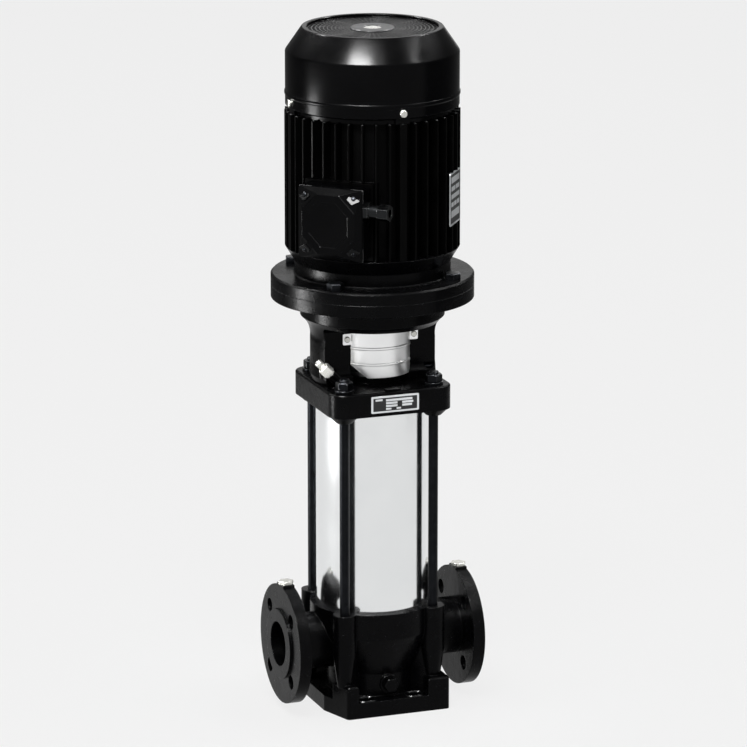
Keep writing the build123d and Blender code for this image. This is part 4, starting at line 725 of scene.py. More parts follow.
def heading(degrees: float) -> Vector:
    """Returns the level unit vector at an angle about Z."""
    angle = math.radians(degrees)
    return Vector((math.cos(angle), math.sin(angle), 0.0))


def stand(origin: Vector, up: Vector) -> Matrix:
    """Returns a frame at a point whose Z axis runs along a vector."""
    return Matrix.Translation(origin) @ up.to_track_quat("Z", "Y").to_matrix().to_4x4()


def add_lathe(
    mesh: bmesh.types.BMesh,
    profile: Sequence[Pair],
    steps: int = 96,
    place: Matrix = Matrix(),
    start: float = 0.0,
    sweep: float = FULL_TURN,
) -> None:
    """Turns a closed profile about the local Z axis, all the way round or part of it.

    Args:
        mesh: Mesh that gets the form.
        profile: (radius, height) points in order.
        steps: Segments along the sweep.
        place: Where the local frame lies in the frame of the part.
        start: Angle of the first section.
        sweep: Angle swept.
    """
    whole = sweep == FULL_TURN
    rings = []
    for step in range(steps if whole else steps + 1):
        angle = start + sweep * step / steps
        c, s = math.cos(angle), math.sin(angle)
        rings.append([mesh.verts.new(place @ Vector((r * c, r * s, z))) for r, z in profile])
    for here, after in zip(rings, rings[1:]):
        add_band(mesh, after, here)
    if whole:
        add_band(mesh, rings[0], rings[-1])
    else:
        mesh.faces.new(rings[0])
        mesh.faces.new(rings[-1])
    bmesh.ops.remove_doubles(mesh, verts=mesh.verts, dist=MERGE)


def add_hexagon(
    mesh: bmesh.types.BMesh, across: float, height: float, place: Matrix, bore: float = 0.0
) -> None:
    """Adds a hexagon head, or a nut, whose corners are turned off by a cone.

    Args:
        mesh: Mesh that gets the head.
        across: Width across the flats.
        height: Height along the local Z axis.
        place: Where the underside lies.
        bore: Radius of the hole through a nut, which has both its faces chamfered; zero for
            a head.
    """
    sides = 48
    sixth = FULL_TURN / 6
    flat = across / 2
    levels = [across * CHAMFER_SHARE * share for share in CHAMFER_LEVELS]
    heights = (levels if bore else [0.0]) + [height - level for level in reversed(levels)]
    rings = []
    for z in heights:
        rim = height - z if z > height / 2 else (z if bore else height)
        ring = []
        for i in range(sides):
            angle = FULL_TURN * i / sides
            offset = (angle + sixth / 2) % sixth - sixth / 2
            reach = min(flat / math.cos(offset), flat * CHAMFER_INSET + rim * CHAMFER_SLOPE)
            point = Vector((reach * math.cos(angle), reach * math.sin(angle), z))
            ring.append(mesh.verts.new(place @ point))
        rings.append(ring)
    for low, high in zip(rings, rings[1:]):
        add_band(mesh, low, high)
    if not bore:
        mesh.faces.new(rings[0])
        mesh.faces.new(rings[-1])
        return
    circle = arc((0.0, 0.0), (bore, bore), 0.0, FULL_TURN, sides)[:-1]
    lower, upper = (
        [mesh.verts.new(place @ Vector((x, y, z))) for x, y in circle] for z in (0.0, height)
    )
    add_band(mesh, rings[0], lower)
    add_band(mesh, rings[-1], upper)
    add_band(mesh, lower, upper)


# ------------------------------------------------------------------------------------------
# Fan cover and its guard
# ------------------------------------------------------------------------------------------


@dataclass
class FanCover:
    """Drawn sheet cover over the fan, with a rolled bead and a sunk mouth.

    Attributes:
        radius: Outer radius of the skirt.
        sheet: Thickness of the sheet.
        bottom: Height of the lower rim.
        rim_edge: Width and height of the broken edge of the lower rim.
        shoulder: Height at which the cone starts.
        shoulder_bend: Points of the bend there, as steps inwards and upwards.
        top: Height of the top rim.
        top_radius: Radius of the cone's upper end.
        top_bend: Radius of the bend between cone and top rim.
        top_reach: Distance by which that bend stands out from the cone's end.
        mouth_radius: Radius of the mouth.
        mouth_edge: Size of the mouth's broken edge.
        well: Depth to which the mouth is sunk.
        ledge: Width of the ledge that carries the guard.
        inner_bend: Cut-off of the bends on the inside, at the top and at the shoulder.
        bead_height: Height of the rolled bead.
        bead_rise: Height of the bead above the sheet.
        bead_half: Half the width of the bead.
    """

    radius: float = 106.3 * MM
    sheet: float = 1.5 * MM
    bottom: float = 760.0 * MM
    rim_edge: Pair = (0.45 * MM, 0.4 * MM)
    shoulder: float = 825.6 * MM
    shoulder_bend: Sequence[Pair] = ((0.0, -1.5 * MM), (0.35 * MM, 0.0), (1.1 * MM, 1.3 * MM))
    top: float = 854.6 * MM
    top_radius: float = 86.5 * MM
    top_bend: float = 2.0 * MM
    top_reach: float = 0.6 * MM
    mouth_radius: float = 80.0 * MM
    mouth_edge: float = 0.8 * MM
    well: float = 4.0 * MM
    ledge: float = 2.0 * MM
    inner_bend: Pair = (0.4 * MM, 0.6 * MM)
    bead_height: float = 774.5 * MM
    bead_rise: float = 1.0 * MM
    bead_half: float = 2.6 * MM

    def _skirt(self) -> list[Pair]:
        """Returns the outside of the cover, from the lower rim to the top."""
        slope = math.atan2(self.radius - self.top_radius, self.top - self.shoulder)
        bend_radius = self.top_radius + self.top_reach - self.top_bend
        return [
            (self.radius - self.sheet, self.bottom),
            (self.radius - self.rim_edge[0], self.bottom),
            (self.radius, self.bottom + self.rim_edge[1]),
            *arc(
                (self.radius, self.bead_height),
                (self.bead_rise, self.bead_half),
                -QUARTER_TURN,
                QUARTER_TURN,
                8,
            ),
            *((self.radius - inwards, self.shoulder + up) for inwards, up in self.shoulder_bend),
            *arc(
                (bend_radius, self.top - self.top_bend),
                (self.top_bend, self.top_bend),
                slope,
                QUARTER_TURN,
                4,
            ),
        ]

    def _mouth(self) -> list[Pair]:
        """Returns the sunk mouth and the inside of the cover, from the top down."""
        floor = self.top - self.well
        return [
            (self.mouth_radius + self.mouth_edge, self.top),
            (self.mouth_radius, self.top - self.mouth_edge),
            (self.mouth_radius, floor),
            (self.mouth_radius - self.ledge, floor),
            (self.mouth_radius - self.ledge, floor - self.sheet),
            (self.mouth_radius + self.sheet, floor - self.sheet),
            (self.mouth_radius + self.sheet, self.top - self.sheet),
            (self.top_radius - self.inner_bend[0], self.top - self.sheet),
            (self.radius - self.sheet, self.shoulder - self.inner_bend[1]),
        ]

    def build(self) -> None:
        """Builds the cover in place of the plain one."""
        shell = bmesh.new()
        add_lathe(shell, self._skirt() + self._mouth(), 160)
        cover = add_piece("drawn_fan_cover", shell, SHEET_ENAMEL, 28.0)
        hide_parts("fan_cover")


@dataclass
class FanGuard:
    """Punched guard in the mouth of the cover: fine rings and bars round a pressed hub.

    Attributes:
        radius: Outer radius.
        floor: Height of its underside.
        sheet: Thickness.
        rings: Number of rings.
        bars: Number of bars.
        web: Width of a ring or bar.
        bar_root: Length by which the bars run under the hub.
        bar_inset: Depth by which the bars lie below both faces of the rings.
        hub_radius: Radius of the raised hub.
        hub_rise: Height of the hub above the guard.
        hub_edge: Size of the hub's chamfer.
        hub_dish: Width and depth of the slope from the hub down to the cap.
        cap_radius: Radius of the hole for the bright cap in the hub.
        cap_play: Gap round the cap.
        cap_crown: Rise of the cap's dome.
        cap_sink: Depth of the cap's rim below the hub.
    """

    radius: float = 79.8 * MM
    floor: float = 850.7 * MM
    sheet: float = 1.2 * MM
    rings: int = 11
    bars: int = 60
    web: float = 2.0 * MM
    bar_root: float = 1.0 * MM
    bar_inset: float = 0.1 * MM
    hub_radius: float = 27.0 * MM
    hub_rise: float = 1.2 * MM
    hub_edge: float = 0.9 * MM
    hub_dish: Pair = (1.5 * MM, 0.8 * MM)
    cap_radius: float = 11.0 * MM
    cap_play: float = 0.2 * MM
    cap_crown: float = 0.8 * MM
    cap_sink: float = 1.0 * MM

    def build(self) -> None:
        """Builds the perforated disc, its hub and the cap in the middle."""
        self._disc()
        top = self.floor + self.sheet + self.hub_rise
        hub = bmesh.new()
        section = [
            (self.cap_radius, self.floor),
            (self.hub_radius, self.floor),
            (self.hub_radius, top - self.hub_edge),
            (self.hub_radius - self.hub_edge, top),
            (self.cap_radius + self.hub_dish[0], top),
            (self.cap_radius, top - self.hub_dish[1]),
        ]
        add_lathe(hub, section)
        add_piece("guard_hub", hub, HUB_ENAMEL)
        cap = bmesh.new()
        rim = self.cap_radius - self.cap_play
        crown = dome(rim, self.cap_crown, top - self.cap_sink)
        add_lathe(cap, [(0.0, self.floor), (rim, self.floor), *crown], 48)
        add_piece("guard_cap", cap, ZINC_PLATED, ALL_SMOOTH)

    def _disc(self) -> None:
        """Builds the rings and bars in place of the plain grille."""
        disc = bmesh.new()
        pitch = (self.radius - self.hub_radius) / self.rings
        top = self.floor + self.sheet
        for ring in range(self.rings):
            outer = self.hub_radius + pitch * (ring + 1)
            inner = outer - self.web
            section = [(inner, self.floor), (outer, self.floor), (outer, top), (inner, top)]
            add_lathe(disc, section, 120)
        half = self.web / 2
        start, end = self.hub_radius - self.bar_root, self.radius - self.web
        ends = ((start, -half), (end, -half), (end, half), (start, half))
        lift = Vector((0.0, 0.0, self.sheet - 2 * self.bar_inset))
        for bar in range(self.bars):
            turn = Matrix.Rotation(FULL_TURN * bar / self.bars, 4, "Z")
            height = self.floor + self.bar_inset
            add_prism(disc, (turn @ Vector((x, y, height)) for x, y in ends), lift)
        guard = add_piece("perforated_fan_guard", disc, SHEET_ENAMEL)
        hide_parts("fan_grille")


# ------------------------------------------------------------------------------------------
# Coupling guards
# ------------------------------------------------------------------------------------------


@dataclass
class CouplingGuard:
    """Rolled sheet guard with two beads, an ear on each leg and a cut lower corner.

    Attributes:
        node: CAD node that it replaces.
        facing: Angle about Z that the guard faces, in degrees.
        radius: Middle radius of the sheet.
        sheet: Thickness of the sheet.
        wrap: Half the angle that the sheet covers, in degrees.
        columns: Segments of the sheet round its girth.
        bottom: Height of the lower edge.
        top: Height of the upper edge.
        beads: Heights of the beads.
        bead_rise: Height of a bead above the sheet.
        bead_half: Half the width of a bead.
        cut_angle: Angle that the cut corner takes off the lower edge, in degrees.
        cut_height: Height of the cut corner.
        ear_reach: Distance of an ear's end from the middle plane.
        ear_face: Distance of an ear's back face from the shaft axis.
        ear_bottom: Height of the lower edge of an ear.
        ear_top: Height of the upper edge of an ear.
        ear_corner: Corner radius of an ear.
        hole_x: Distance of the screw holes from the middle plane.
        hole_radius: Radius of the screw holes.
    """

    node: str
    facing: float
    radius: float = 47.0 * MM
    sheet: float = 1.2 * MM
    wrap: float = 54.2
    columns: int = 48
    bottom: float = 425.5 * MM
    top: float = 486.5 * MM
    beads: Sequence[float] = (442.0 * MM, 462.0 * MM)
    bead_rise: float = 0.9 * MM
    bead_half: float = 1.8 * MM
    cut_angle: float = 26.0
    cut_height: float = 15.0 * MM
    ear_reach: float = 49.0 * MM
    ear_face: float = 27.1 * MM
    ear_bottom: float = 466.0 * MM
    ear_top: float = 480.0 * MM
    ear_corner: float = 1.6 * MM
    hole_x: float = 43.5 * MM
    hole_radius: float = 2.2 * MM

    def build(self) -> None:
        """Builds the guard in place of the plain one, and its ears."""
        turn = Matrix.Rotation(math.radians(self.facing), 4, "Z")
        shell = bmesh.new()
        skins = [self._skin(shell, side * self.sheet / 2, turn) for side in (-1.0, 1.0)]
        inner, outer = skins
        for rows in skins:
            for low, high in zip(rows, rows[1:]):
                add_band(shell, low, high, closed=False)
        for level in (0, -1):
            add_band(shell, inner[level], outer[level], closed=False)
            ends = ([row[level] for row in rows] for rows in skins)
            add_band(shell, *ends, closed=False)
        guard = add_piece(f"rolled_{self.node}", shell, GUARD_STAINLESS, 35.0)
        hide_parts(self.node)
        ears = bmesh.new()
        for side in (-1.0, 1.0):
            self._ear(ears, side, turn)
        add_piece(f"{self.node}_ears", ears, GUARD_STAINLESS)

    def _levels(self) -> list[Pair]:
        """Returns (height, rise above the sheet) of every row of points."""
        cut_top = self.bottom + self.cut_height
        plain = (self.bottom, cut_top, self.ear_bottom, self.ear_top, self.top)
        rows = [(height, 0.0) for height in plain]
        for bead in self.beads:
            rows += arc((bead, 0.0), (self.bead_half, self.bead_rise), FULL_TURN / 2, 0.0, 8)
        return sorted(rows)

    def _skin(
        self, mesh: bmesh.types.BMesh, offset: float, turn: Matrix
    ) -> list[list[bmesh.types.BMVert]]:
        """Adds the vertices of one face of the sheet.

        Args:
            mesh: Mesh that gets the vertices.
            offset: Distance of the face from the middle of the sheet.
            turn: Rotation of the guard about Z.

        Returns:
            Rows of vertices, from the lower edge up.
        """
        half = math.radians(self.wrap)
        rows = []
        for height, rise in self._levels():
            slack = max(0.0, 1.0 - (height - self.bottom) / self.cut_height)
            start = -half + math.radians(self.cut_angle) * slack
            reach = self.radius + rise + offset
            row = []
            for i in range(self.columns + 1):
                angle = start + (half - start) * i / self.columns
                point = Vector((reach * math.sin(angle), -reach * math.cos(angle), height))
                row.append(mesh.verts.new(turn @ point))
            rows.append(row)
        return rows

    def _ear(self, mesh: bmesh.types.BMesh, side: float, turn: Matrix) -> None:
        """Adds one ear with its screw hole.

        Args:
            mesh: Mesh that gets the ear.
            side: -1 or 1, the side of the middle plane.
            turn: Rotation of the guard about Z.
        """
        inner = self.radius * math.sin(math.radians(self.wrap)) - self.sheet / 2
        width, height = self.ear_reach - inner, self.ear_top - self.ear_bottom
        middle_x = side * (inner + width / 2)
        middle_z = (self.ear_top + self.ear_bottom) / 2
        hole_x = side * self.hole_x - middle_x
        rim = rounded_rectangle(width, height, self.ear_corner, 6)
        angles = [math.atan2(y, x - hole_x) for x, y in rim]
        hole = [
            (hole_x + self.hole_radius * math.cos(angle), self.hole_radius * math.sin(angle))
            for angle in angles
        ]
        back_rim, back_hole, front_rim, front_hole = (
            [mesh.verts.new(turn @ Vector((x + middle_x, -depth, y + middle_z))) for x, y in edge]
            for depth in (self.ear_face, self.ear_face + self.sheet)
            for edge in (rim, hole)
        )
        add_band(mesh, back_rim, back_hole)
        add_band(mesh, front_rim, front_hole)
        add_band(mesh, back_rim, front_rim)
        add_band(mesh, back_hole, front_hole)


# ------------------------------------------------------------------------------------------
# Pump casing: webs, slot rims, pads, rod ends, vent
# ------------------------------------------------------------------------------------------


@dataclass
class BaseWebs:
    """Cast webs that close the bowl to the four corner posts.

    Attributes:
        inner: Distance of their inner edge from the shaft axis.
        outer: Distance of their outer edge from the shaft axis.
        width: Thickness of a web.
        foot: Height at which they stand on the foot.
        waist: Height below which they are full.
        shoulder: Height at which they run into the collar.
        lean: Distance by which they draw in from waist to shoulder.
    """

    inner: float = 46.0 * MM
    outer: float = 84.0 * MM
    width: float = 17.0 * MM
    foot: float = 19.0 * MM
    waist: float = 80.0 * MM
    shoulder: float = 112.0 * MM
    lean: float = 8.0 * MM

    def build(self) -> None:
        """Builds the four webs."""
        webs = bmesh.new()
        section = [
            (self.inner, self.foot),
            (self.outer, self.foot),
            (self.outer, self.waist),
            (self.outer - self.lean, self.shoulder),
            (self.inner, self.shoulder),
        ]
        for corner in range(4):
            out = heading(45.0 + 90.0 * corner)
            across = UP.cross(out) * self.width
            add_prism(webs, (out * r + UP * z - across / 2 for r, z in section), across)
        add_piece("base_webs", webs, CAST_ENAMEL)


@dataclass
class SlotRims:
    """Raised, rounded rims round the four anchor slots of the foot.

    Attributes:
        slot_x: Distance of a slot's middle from the YZ plane.
        slot_y: Distance of a slot's middle from the XZ plane.
        straight: Half the straight part of a slot.
        radius: Middle radius of a rim.
        half: Half the width of a rim.
        rise: Height of a rim above the foot.
        seat: Height of the foot's upper face.
        steps: Segments round a rim.
    """

    slot_x: float = 32.0 * MM
    slot_y: float = 64.0 * MM
    straight: float = 3.4 * MM
    radius: float = 8.9 * MM
    half: float = 2.0 * MM
    rise: float = 1.6 * MM
    seat: float = 20.0 * MM
    steps: int = 48

    def build(self) -> None:
        """Builds the four rims."""
        rims = bmesh.new()
        section = arc((self.radius, self.seat), (self.half, self.rise), 0.0, FULL_TURN / 2, 8)
        for x, y in corners(self.slot_x, self.slot_y):
            rings = []
            for i in range(self.steps):
                angle = FULL_TURN * i / self.steps
                c, s = math.cos(angle), math.sin(angle)
                end = x + (self.straight if c >= 0.0 else -self.straight)
                rings.append([rims.verts.new((end + r * c, y + r * s, z)) for r, z in section])
            for here, after in zip(rings, rings[1:] + rings[:1]):
                add_band(rims, here, after)
        add_piece("slot_rims", rims, RUN_ENAMEL, 50.0)


@dataclass
class HeadPads:
    """Low cast pads on the head, one at the front above the rating plate and one at the back.

    Attributes:
        top: Height of the head's upper face.
        reach: Distance of a pad's middle from the shaft axis.
        width: Width of a pad along the edge of the head.
        depth: Depth of a pad.
        corner: Corner radius of a pad.
        rise: Height of a pad.
        root: Depth by which a pad reaches into the head.
    """

    top: float = 416.0 * MM
    reach: float = 70.5 * MM
    width: float = 20.0 * MM
    depth: float = 9.0 * MM
    corner: float = 2.0 * MM
    rise: float = 1.8 * MM
    root: float = 0.5 * MM

    def build(self) -> None:
        """Builds the pads."""
        pads = bmesh.new()
        outline = rounded_rectangle(self.width, self.depth, self.corner)
        base = self.top - self.root
        for side in (-1.0, 1.0):
            flat = (Vector((-side * x, side * (self.reach - y), base)) for x, y in outline)
            add_prism(pads, flat, UP * (self.rise + self.root))
        add_piece("head_pads", pads, CAST_ENAMEL)


@dataclass
class TieRodEnds:
    """Chamfered nuts and threaded ends of the four tie rods.

    Attributes:
        spacing: Distance between rods.
        nut_bottom: Height of the underside of the nuts.
        nut_height: Height of a nut.
        nut_across: Width across the flats.
        nut_play: Gap between nut and rod.
        rod_radius: Radius of a rod.
        rod_top: Height of the rod's end.
        pitch: Pitch of the thread.
        thread: Depth of the thread.
        crest: Height of a crest above the rod.
        sunk: Depth at which the thread starts inside the nut.
    """

    spacing: float = 116.4 * MM
    nut_bottom: float = 418.5 * MM
    nut_height: float = 10.0 * MM
    nut_across: float = 19.0 * MM
    nut_play: float = 0.1 * MM
    rod_radius: float = 6.0 * MM
    rod_top: float = 432.0 * MM
    pitch: float = 1.75 * MM
    thread: float = 0.9 * MM
    crest: float = 0.35 * MM
    sunk: float = 0.5 * MM

    def build(self) -> None:
        """Builds the nuts in place of the plain ones, and the threads on the ends."""
        nuts = bmesh.new()
        threads = bmesh.new()
        root = self.rod_radius - self.thread
        start = self.nut_bottom + self.nut_height - self.sunk
        turns = int((self.rod_top - start) / self.pitch)
        for x, y in corners(self.spacing / 2, self.spacing / 2):
            seat = Matrix.Translation((x, y, self.nut_bottom))
            bore = self.rod_radius + self.nut_play
            add_hexagon(nuts, self.nut_across, self.nut_height, seat, bore)
            for turn in range(turns):
                low = start + turn * self.pitch
                section = [
                    (root, low),
                    (self.rod_radius, low),
                    (self.rod_radius + self.crest, low + self.pitch / 2),
                    (self.rod_radius, low + self.pitch),
                    (root, low + self.pitch),
                ]
                add_lathe(threads, section, 32, Matrix.Translation((x, y, 0.0)))
        made = add_piece("chamfered_nuts", nuts, BLACKENED_STEEL)
        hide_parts("tie_rod_nuts")
        add_piece("rod_threads", threads, BLACKENED_STEEL)


@dataclass
class VentPlug:
    """Vent plug on a slanted boss at the corner of the head, with its bleed screw.

    Attributes:
        root: Point inside the head where the boss starts.
        seat: Middle of the face that the plug seats on.
        boss_radius: Radius of the cast boss.
        boss_flare: Width by which its root is wider.
        boss_waist: Share of its length at which the flare ends.
        boss_edge: Size of the chamfer round its seat.
        collar: Radius and thickness of the collar under the hexagon.
        across: Width across the flats of the plug.
        length: Length of the hexagon.
        screw_radius: Radius of the bleed screw.
        screw_length: Length of the bleed screw beyond the hexagon.
        screw_crown: Length of its rounded end.
        steps: Segments round the turned pieces.
    """

    root: Point = (-48.0 * MM, -38.0 * MM, 413.0 * MM)
    seat: Point = (-69.0 * MM, -38.0 * MM, 434.0 * MM)
    boss_radius: float = 6.6 * MM
    boss_flare: float = 1.5 * MM
    boss_waist: float = 0.4
    boss_edge: float = 0.6 * MM
    collar: Pair = (6.4 * MM, 1.6 * MM)
    across: float = 13.0 * MM
    length: float = 12.0 * MM
    screw_radius: float = 4.6 * MM
    screw_length: float = 11.0 * MM
    screw_crown: float = 2.76 * MM
    steps: int = 40

    def build(self) -> None:
        """Builds boss, plug and bleed screw in place of the upright ones."""
        root, seat = Vector(self.root), Vector(self.seat)
        reach = (seat - root).length
        along = (seat - root).normalized()
        boss = bmesh.new()
        section = [
            (0.0, 0.0),
            (self.boss_radius + self.boss_flare, 0.0),
            (self.boss_radius, reach * self.boss_waist),
            (self.boss_radius, reach - self.boss_edge),
            (self.boss_radius - self.boss_edge, reach),
            (0.0, reach),
        ]
        add_lathe(boss, section, self.steps, stand(root, along))
        add_piece("vent_boss", boss, CAST_ENAMEL)
        plug = bmesh.new()
        wide, thick = self.collar
        section = [(0.0, 0.0), (wide, 0.0), (wide, thick), (0.0, thick)]
        add_lathe(plug, section, self.steps, stand(seat, along))
        add_hexagon(plug, self.across, self.length, stand(seat + along * thick, along))
        hexagon = add_piece("slanted_vent_plug", plug, BRIGHT_ZINC)
        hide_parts("vent_plug")
        screw = bmesh.new()
        end = seat + along * (self.length + thick)
        crown = dome(self.screw_radius, self.screw_crown, self.screw_length - self.screw_crown)
        section = [(0.0, 0.0), (self.screw_radius, 0.0), *crown]
        add_lathe(screw, section, self.steps, stand(end, along))
        round_end = add_piece("bleed_screw", screw, BRIGHT_ZINC, ALL_SMOOTH)
        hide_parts("vent_screw")


# ------------------------------------------------------------------------------------------
# Motor: terminal lid, fin ends, printed plates
# ------------------------------------------------------------------------------------------


@dataclass
class TerminalLid:
    """Die-cast lid of the terminal box: cut corners, each with a screw pad, and a sunk panel.

    Attributes:
        angle: Direction that the box faces, in degrees about Z.
        reach: Distance of the lid's seat from the shaft axis.
        centre: Height of the middle of the lid.
        width: Full width.
        height: Full height.
        corner: Width of the cut at the corners of the rim.
        rim: Depth of the straight rim.
        depth: Full depth.
        edge: Size of the chamfer round the flat.
        bevel: Width of the sloped border.
        cut: Width of a cut corner of the flat.
        panel_margin: Distance of the sunk panel from the flat's edge.
        panel_cut: Width of a cut corner of the panel.
        panel_sink: Depth of the panel, and width of its sloped edge.
        pad_outline: Corners of a screw pad, along and across the corner of the lid.
        pad_slope: Slope of a pad's face sideways and up or down.
        pad_inset: Distance of a pad's middle from both edges.
        pad_rise: Height of a pad's middle above the seat.
        pad_depth: Thickness of a pad.
        screw_radius: Radius of a screw head.
        screw_crown: Rise of its dome.
        screw_rim: Height of its rim above the pad.
        screw_root: Depth by which it reaches into the pad.
    """

    angle: float = -135.0
    reach: float = 119.5 * MM
    centre: float = 633.5 * MM
    width: float = 84.0 * MM
    height: float = 88.0 * MM
    corner: float = 2.0 * MM
    rim: float = 2.5 * MM
    depth: float = 9.6 * MM
    edge: float = 0.8 * MM
    bevel: float = 7.0 * MM
    cut: float = 20.0 * MM
    panel_margin: float = 9.0 * MM
    panel_cut: float = 16.0 * MM
    panel_sink: float = 0.7 * MM
    pad_outline: Sequence[Pair] = (
        (7.5 * MM, 2.625 * MM),
        (3.375 * MM, 7.125 * MM),
        (-3.375 * MM, 7.125 * MM),
        (-7.5 * MM, 2.625 * MM),
        (-4.5 * MM, -6.75 * MM),
        (4.5 * MM, -6.75 * MM),
    )
    pad_slope: Pair = (0.32, 0.62)
    pad_inset: float = 9.5 * MM
    pad_rise: float = 6.0 * MM
    pad_depth: float = 4.0 * MM
    screw_radius: float = 2.9 * MM
    screw_crown: float = 1.0 * MM
    screw_rim: float = 0.6 * MM
    screw_root: float = 1.0 * MM

    def _point(self, x: float, y: float, z: float) -> Vector:
        """Returns a point of the lid, to the right, up and out from the seat's middle."""
        out = heading(self.angle)
        return out * (self.reach + z) + UP * (self.centre + y) + UP.cross(out) * x

    def _octagon(self, inset: float, cut: float) -> list[Pair]:
        """Returns the corners of the lid's outline, set in from the rim.

        Args:
            inset: Distance from the rim.
            cut: Width of a cut corner.

        Returns:
            Eight points, anticlockwise.
        """
        x, y = self.width / 2 - inset, self.height / 2 - inset
        half = [(x, y - cut), (x - cut, y), (-x + cut, y), (-x, y - cut)]
        return half + [(-right, -up) for right, up in half]

    def build(self) -> None:
        """Builds the lid in place of the plain one, and its pads and screws."""
        lid = bmesh.new()
        panel = self.bevel + self.panel_margin
        rows = (
            (0.0, self.corner, 0.0),
            (0.0, self.corner, self.rim),
            (self.bevel, self.cut, self.depth - self.edge),
            (self.bevel + self.edge, self.cut, self.depth),
            (panel, self.panel_cut, self.depth),
            (panel + self.panel_sink, self.panel_cut, self.depth - self.panel_sink),
        )
        rings = [
            [lid.verts.new(self._point(x, y, z)) for x, y in self._octagon(inset, cut)]
            for inset, cut, z in rows
        ]
        for low, high in zip(rings, rings[1:]):
            add_band(lid, low, high)
        lid.faces.new(rings[0])
        lid.faces.new(rings[-1])
        cover = add_piece("cast_terminal_lid", lid, SHEET_ENAMEL)
        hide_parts("terminal_lid")
        pads = bmesh.new()
        screws = bmesh.new()
        for right, up in corners(1.0, 1.0):
            self._pad(pads, screws, right, up)
        add_piece("lid_screw_pads", pads, PAD_ENAMEL)
        heads = add_piece("lid_screw_heads", screws, BLACKENED_STEEL, ALL_SMOOTH)
        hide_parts("lid_screws")

    def _pad(
        self, pads: bmesh.types.BMesh, screws: bmesh.types.BMesh, right: float, up: float
    ) -> None:
        """Adds one screw pad, which leans out to its corner of the lid, and its screw head.

        Args:
            pads: Mesh that gets the pad.
            screws: Mesh that gets the screw head.
            right: -1 or 1, the corner's side.
            up: -1 for a lower corner, 1 for an upper one.
        """
        out = heading(self.angle)
        side = UP.cross(out)
        middle = self._point(
            right * (self.width / 2 - self.pad_inset),
            up * (self.height / 2 - self.pad_inset),
            self.pad_rise,
        )
        sideways, upwards = self.pad_slope
        tilt = (out + side * right * sideways + UP * up * upwards).normalized()
        along = (side * up - UP * right).normalized()
        along = (along - tilt * along.dot(tilt)).normalized()
        over = tilt.cross(along)
        depth = tilt * self.pad_depth
        add_prism(pads, (middle + along * u + over * v - depth for u, v in self.pad_outline), depth)
        crown = dome(self.screw_radius, self.screw_crown, self.screw_rim)
        section = [(0.0, -self.screw_root), (self.screw_radius, -self.screw_root), *crown]
        add_lathe(screws, section, 28, stand(middle, tilt))


@dataclass
class FinEnds:
    """Small nubs at the upper end of each cooling fin, in a lighter grey than the enamel: painted
    highlights on the fin ends.

    Attributes:
        count: Number of fins round the frame.
        ribs: Number of screw ribs, which take the place of a fin each.
        reach: Distance of a nub from the shaft axis.
        height: Height of a nub's middle.
        radius: Radius of a nub.
        crown: Rise of its dome.
    """

    count: int = 40
    ribs: int = 4
    reach: float = 104.9 * MM
    height: float = 752.2 * MM
    radius: float = 1.3 * MM
    crown: float = 0.91 * MM

    def build(self) -> None:
        """Builds the nubs."""
        nubs = bmesh.new()
        spacing = self.count // self.ribs
        crown = dome(self.radius, self.crown, 0.0, 4)
        section = [(0.0, -self.radius), (self.radius, -self.radius), *crown]
        for fin in range(self.count):
            if fin % spacing != spacing // 2:
                out = heading(360.0 * fin / self.count)
                middle = out * self.reach + UP * self.height
                add_lathe(nubs, section, 12, stand(middle, (out + UP).normalized()))
        # The nubs are lighter grey than the enamel: a painted highlight on each fin end.
        add_piece("fin_ends", nubs, WORN_ENAMEL, ALL_SMOOTH)


@dataclass
class PlatePrint:
    """Printed face of a plate: a dark panel inside a bare border, with blank pale fields.

    Attributes:
        name: Start of the names of its pieces.
        centre: Middle of the plate's outer face.
        out: Level unit vector out of the plate.
        width: Width of the dark panel.
        height: Height of the dark panel.
        fields: Blank fields as (left, bottom, width, height), each a share of the panel.
        film: Thickness of the ink, thick enough to show.
        corner: Corner radius of the panel.
        field_corner: Corner radius of a field, as a share of its shorter side.
    """

    name: str
    centre: Vector
    out: Vector
    width: float
    height: float
    fields: Sequence[tuple[float, float, float, float]]
    film: float = 0.12 * MM
    corner: float = 0.8 * MM
    field_corner: float = 0.12

    def _points(self, outline: Iterable[Pair], lift: float) -> Iterable[Vector]:
        """Places flat points on the plate's face, a height above it."""
        right = UP.cross(self.out)
        return (self.centre + right * x + UP * y + self.out * lift for x, y in outline)

    def build(self) -> None:
        """Builds the ink panel and the fields left bare in it."""
        lift = self.out * self.film
        panel = bmesh.new()
        ink = rounded_rectangle(self.width, self.height, self.corner)
        add_prism(panel, self._points(ink, 0.0), lift)
        add_piece(f"{self.name}_ink", panel, PLATE_INK)
        bare = bmesh.new()
        for left, bottom, width, height in self.fields:
            size = (width * self.width, height * self.height)
            x = (left + width / 2 - 0.5) * self.width
            y = (bottom + height / 2 - 0.5) * self.height
            outline = rounded_rectangle(*size, min(size) * self.field_corner, 2)
            cell = ((right + x, up + y) for right, up in outline)
            add_prism(bare, self._points(cell, self.film), lift)
        add_piece(f"{self.name}_fields", bare, ANODISED_PLATE)


def rating_print() -> PlatePrint:
    """Returns the print of the pump's plate, on the outer face of its node."""
    low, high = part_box("rating_plate")
    rows = (
        (0.29, 0.72, 0.60, 0.16),
        (0.29, 0.50, 0.26, 0.16),
        (0.66, 0.50, 0.25, 0.16),
        (0.29, 0.28, 0.26, 0.16),
        (0.66, 0.28, 0.22, 0.16),
        (0.05, 0.78, 0.16, 0.14),
        (0.29, 0.08, 0.12, 0.13),
        (0.53, 0.08, 0.10, 0.13),
    )
    middle = Vector(((low.x + high.x) / 2, low.y, (low.z + high.z) / 2))
    return PlatePrint(
        "rating_plate", middle, Vector((0.0, -1.0, 0.0)), 57.0 * MM, 16.5 * MM, rows
    )


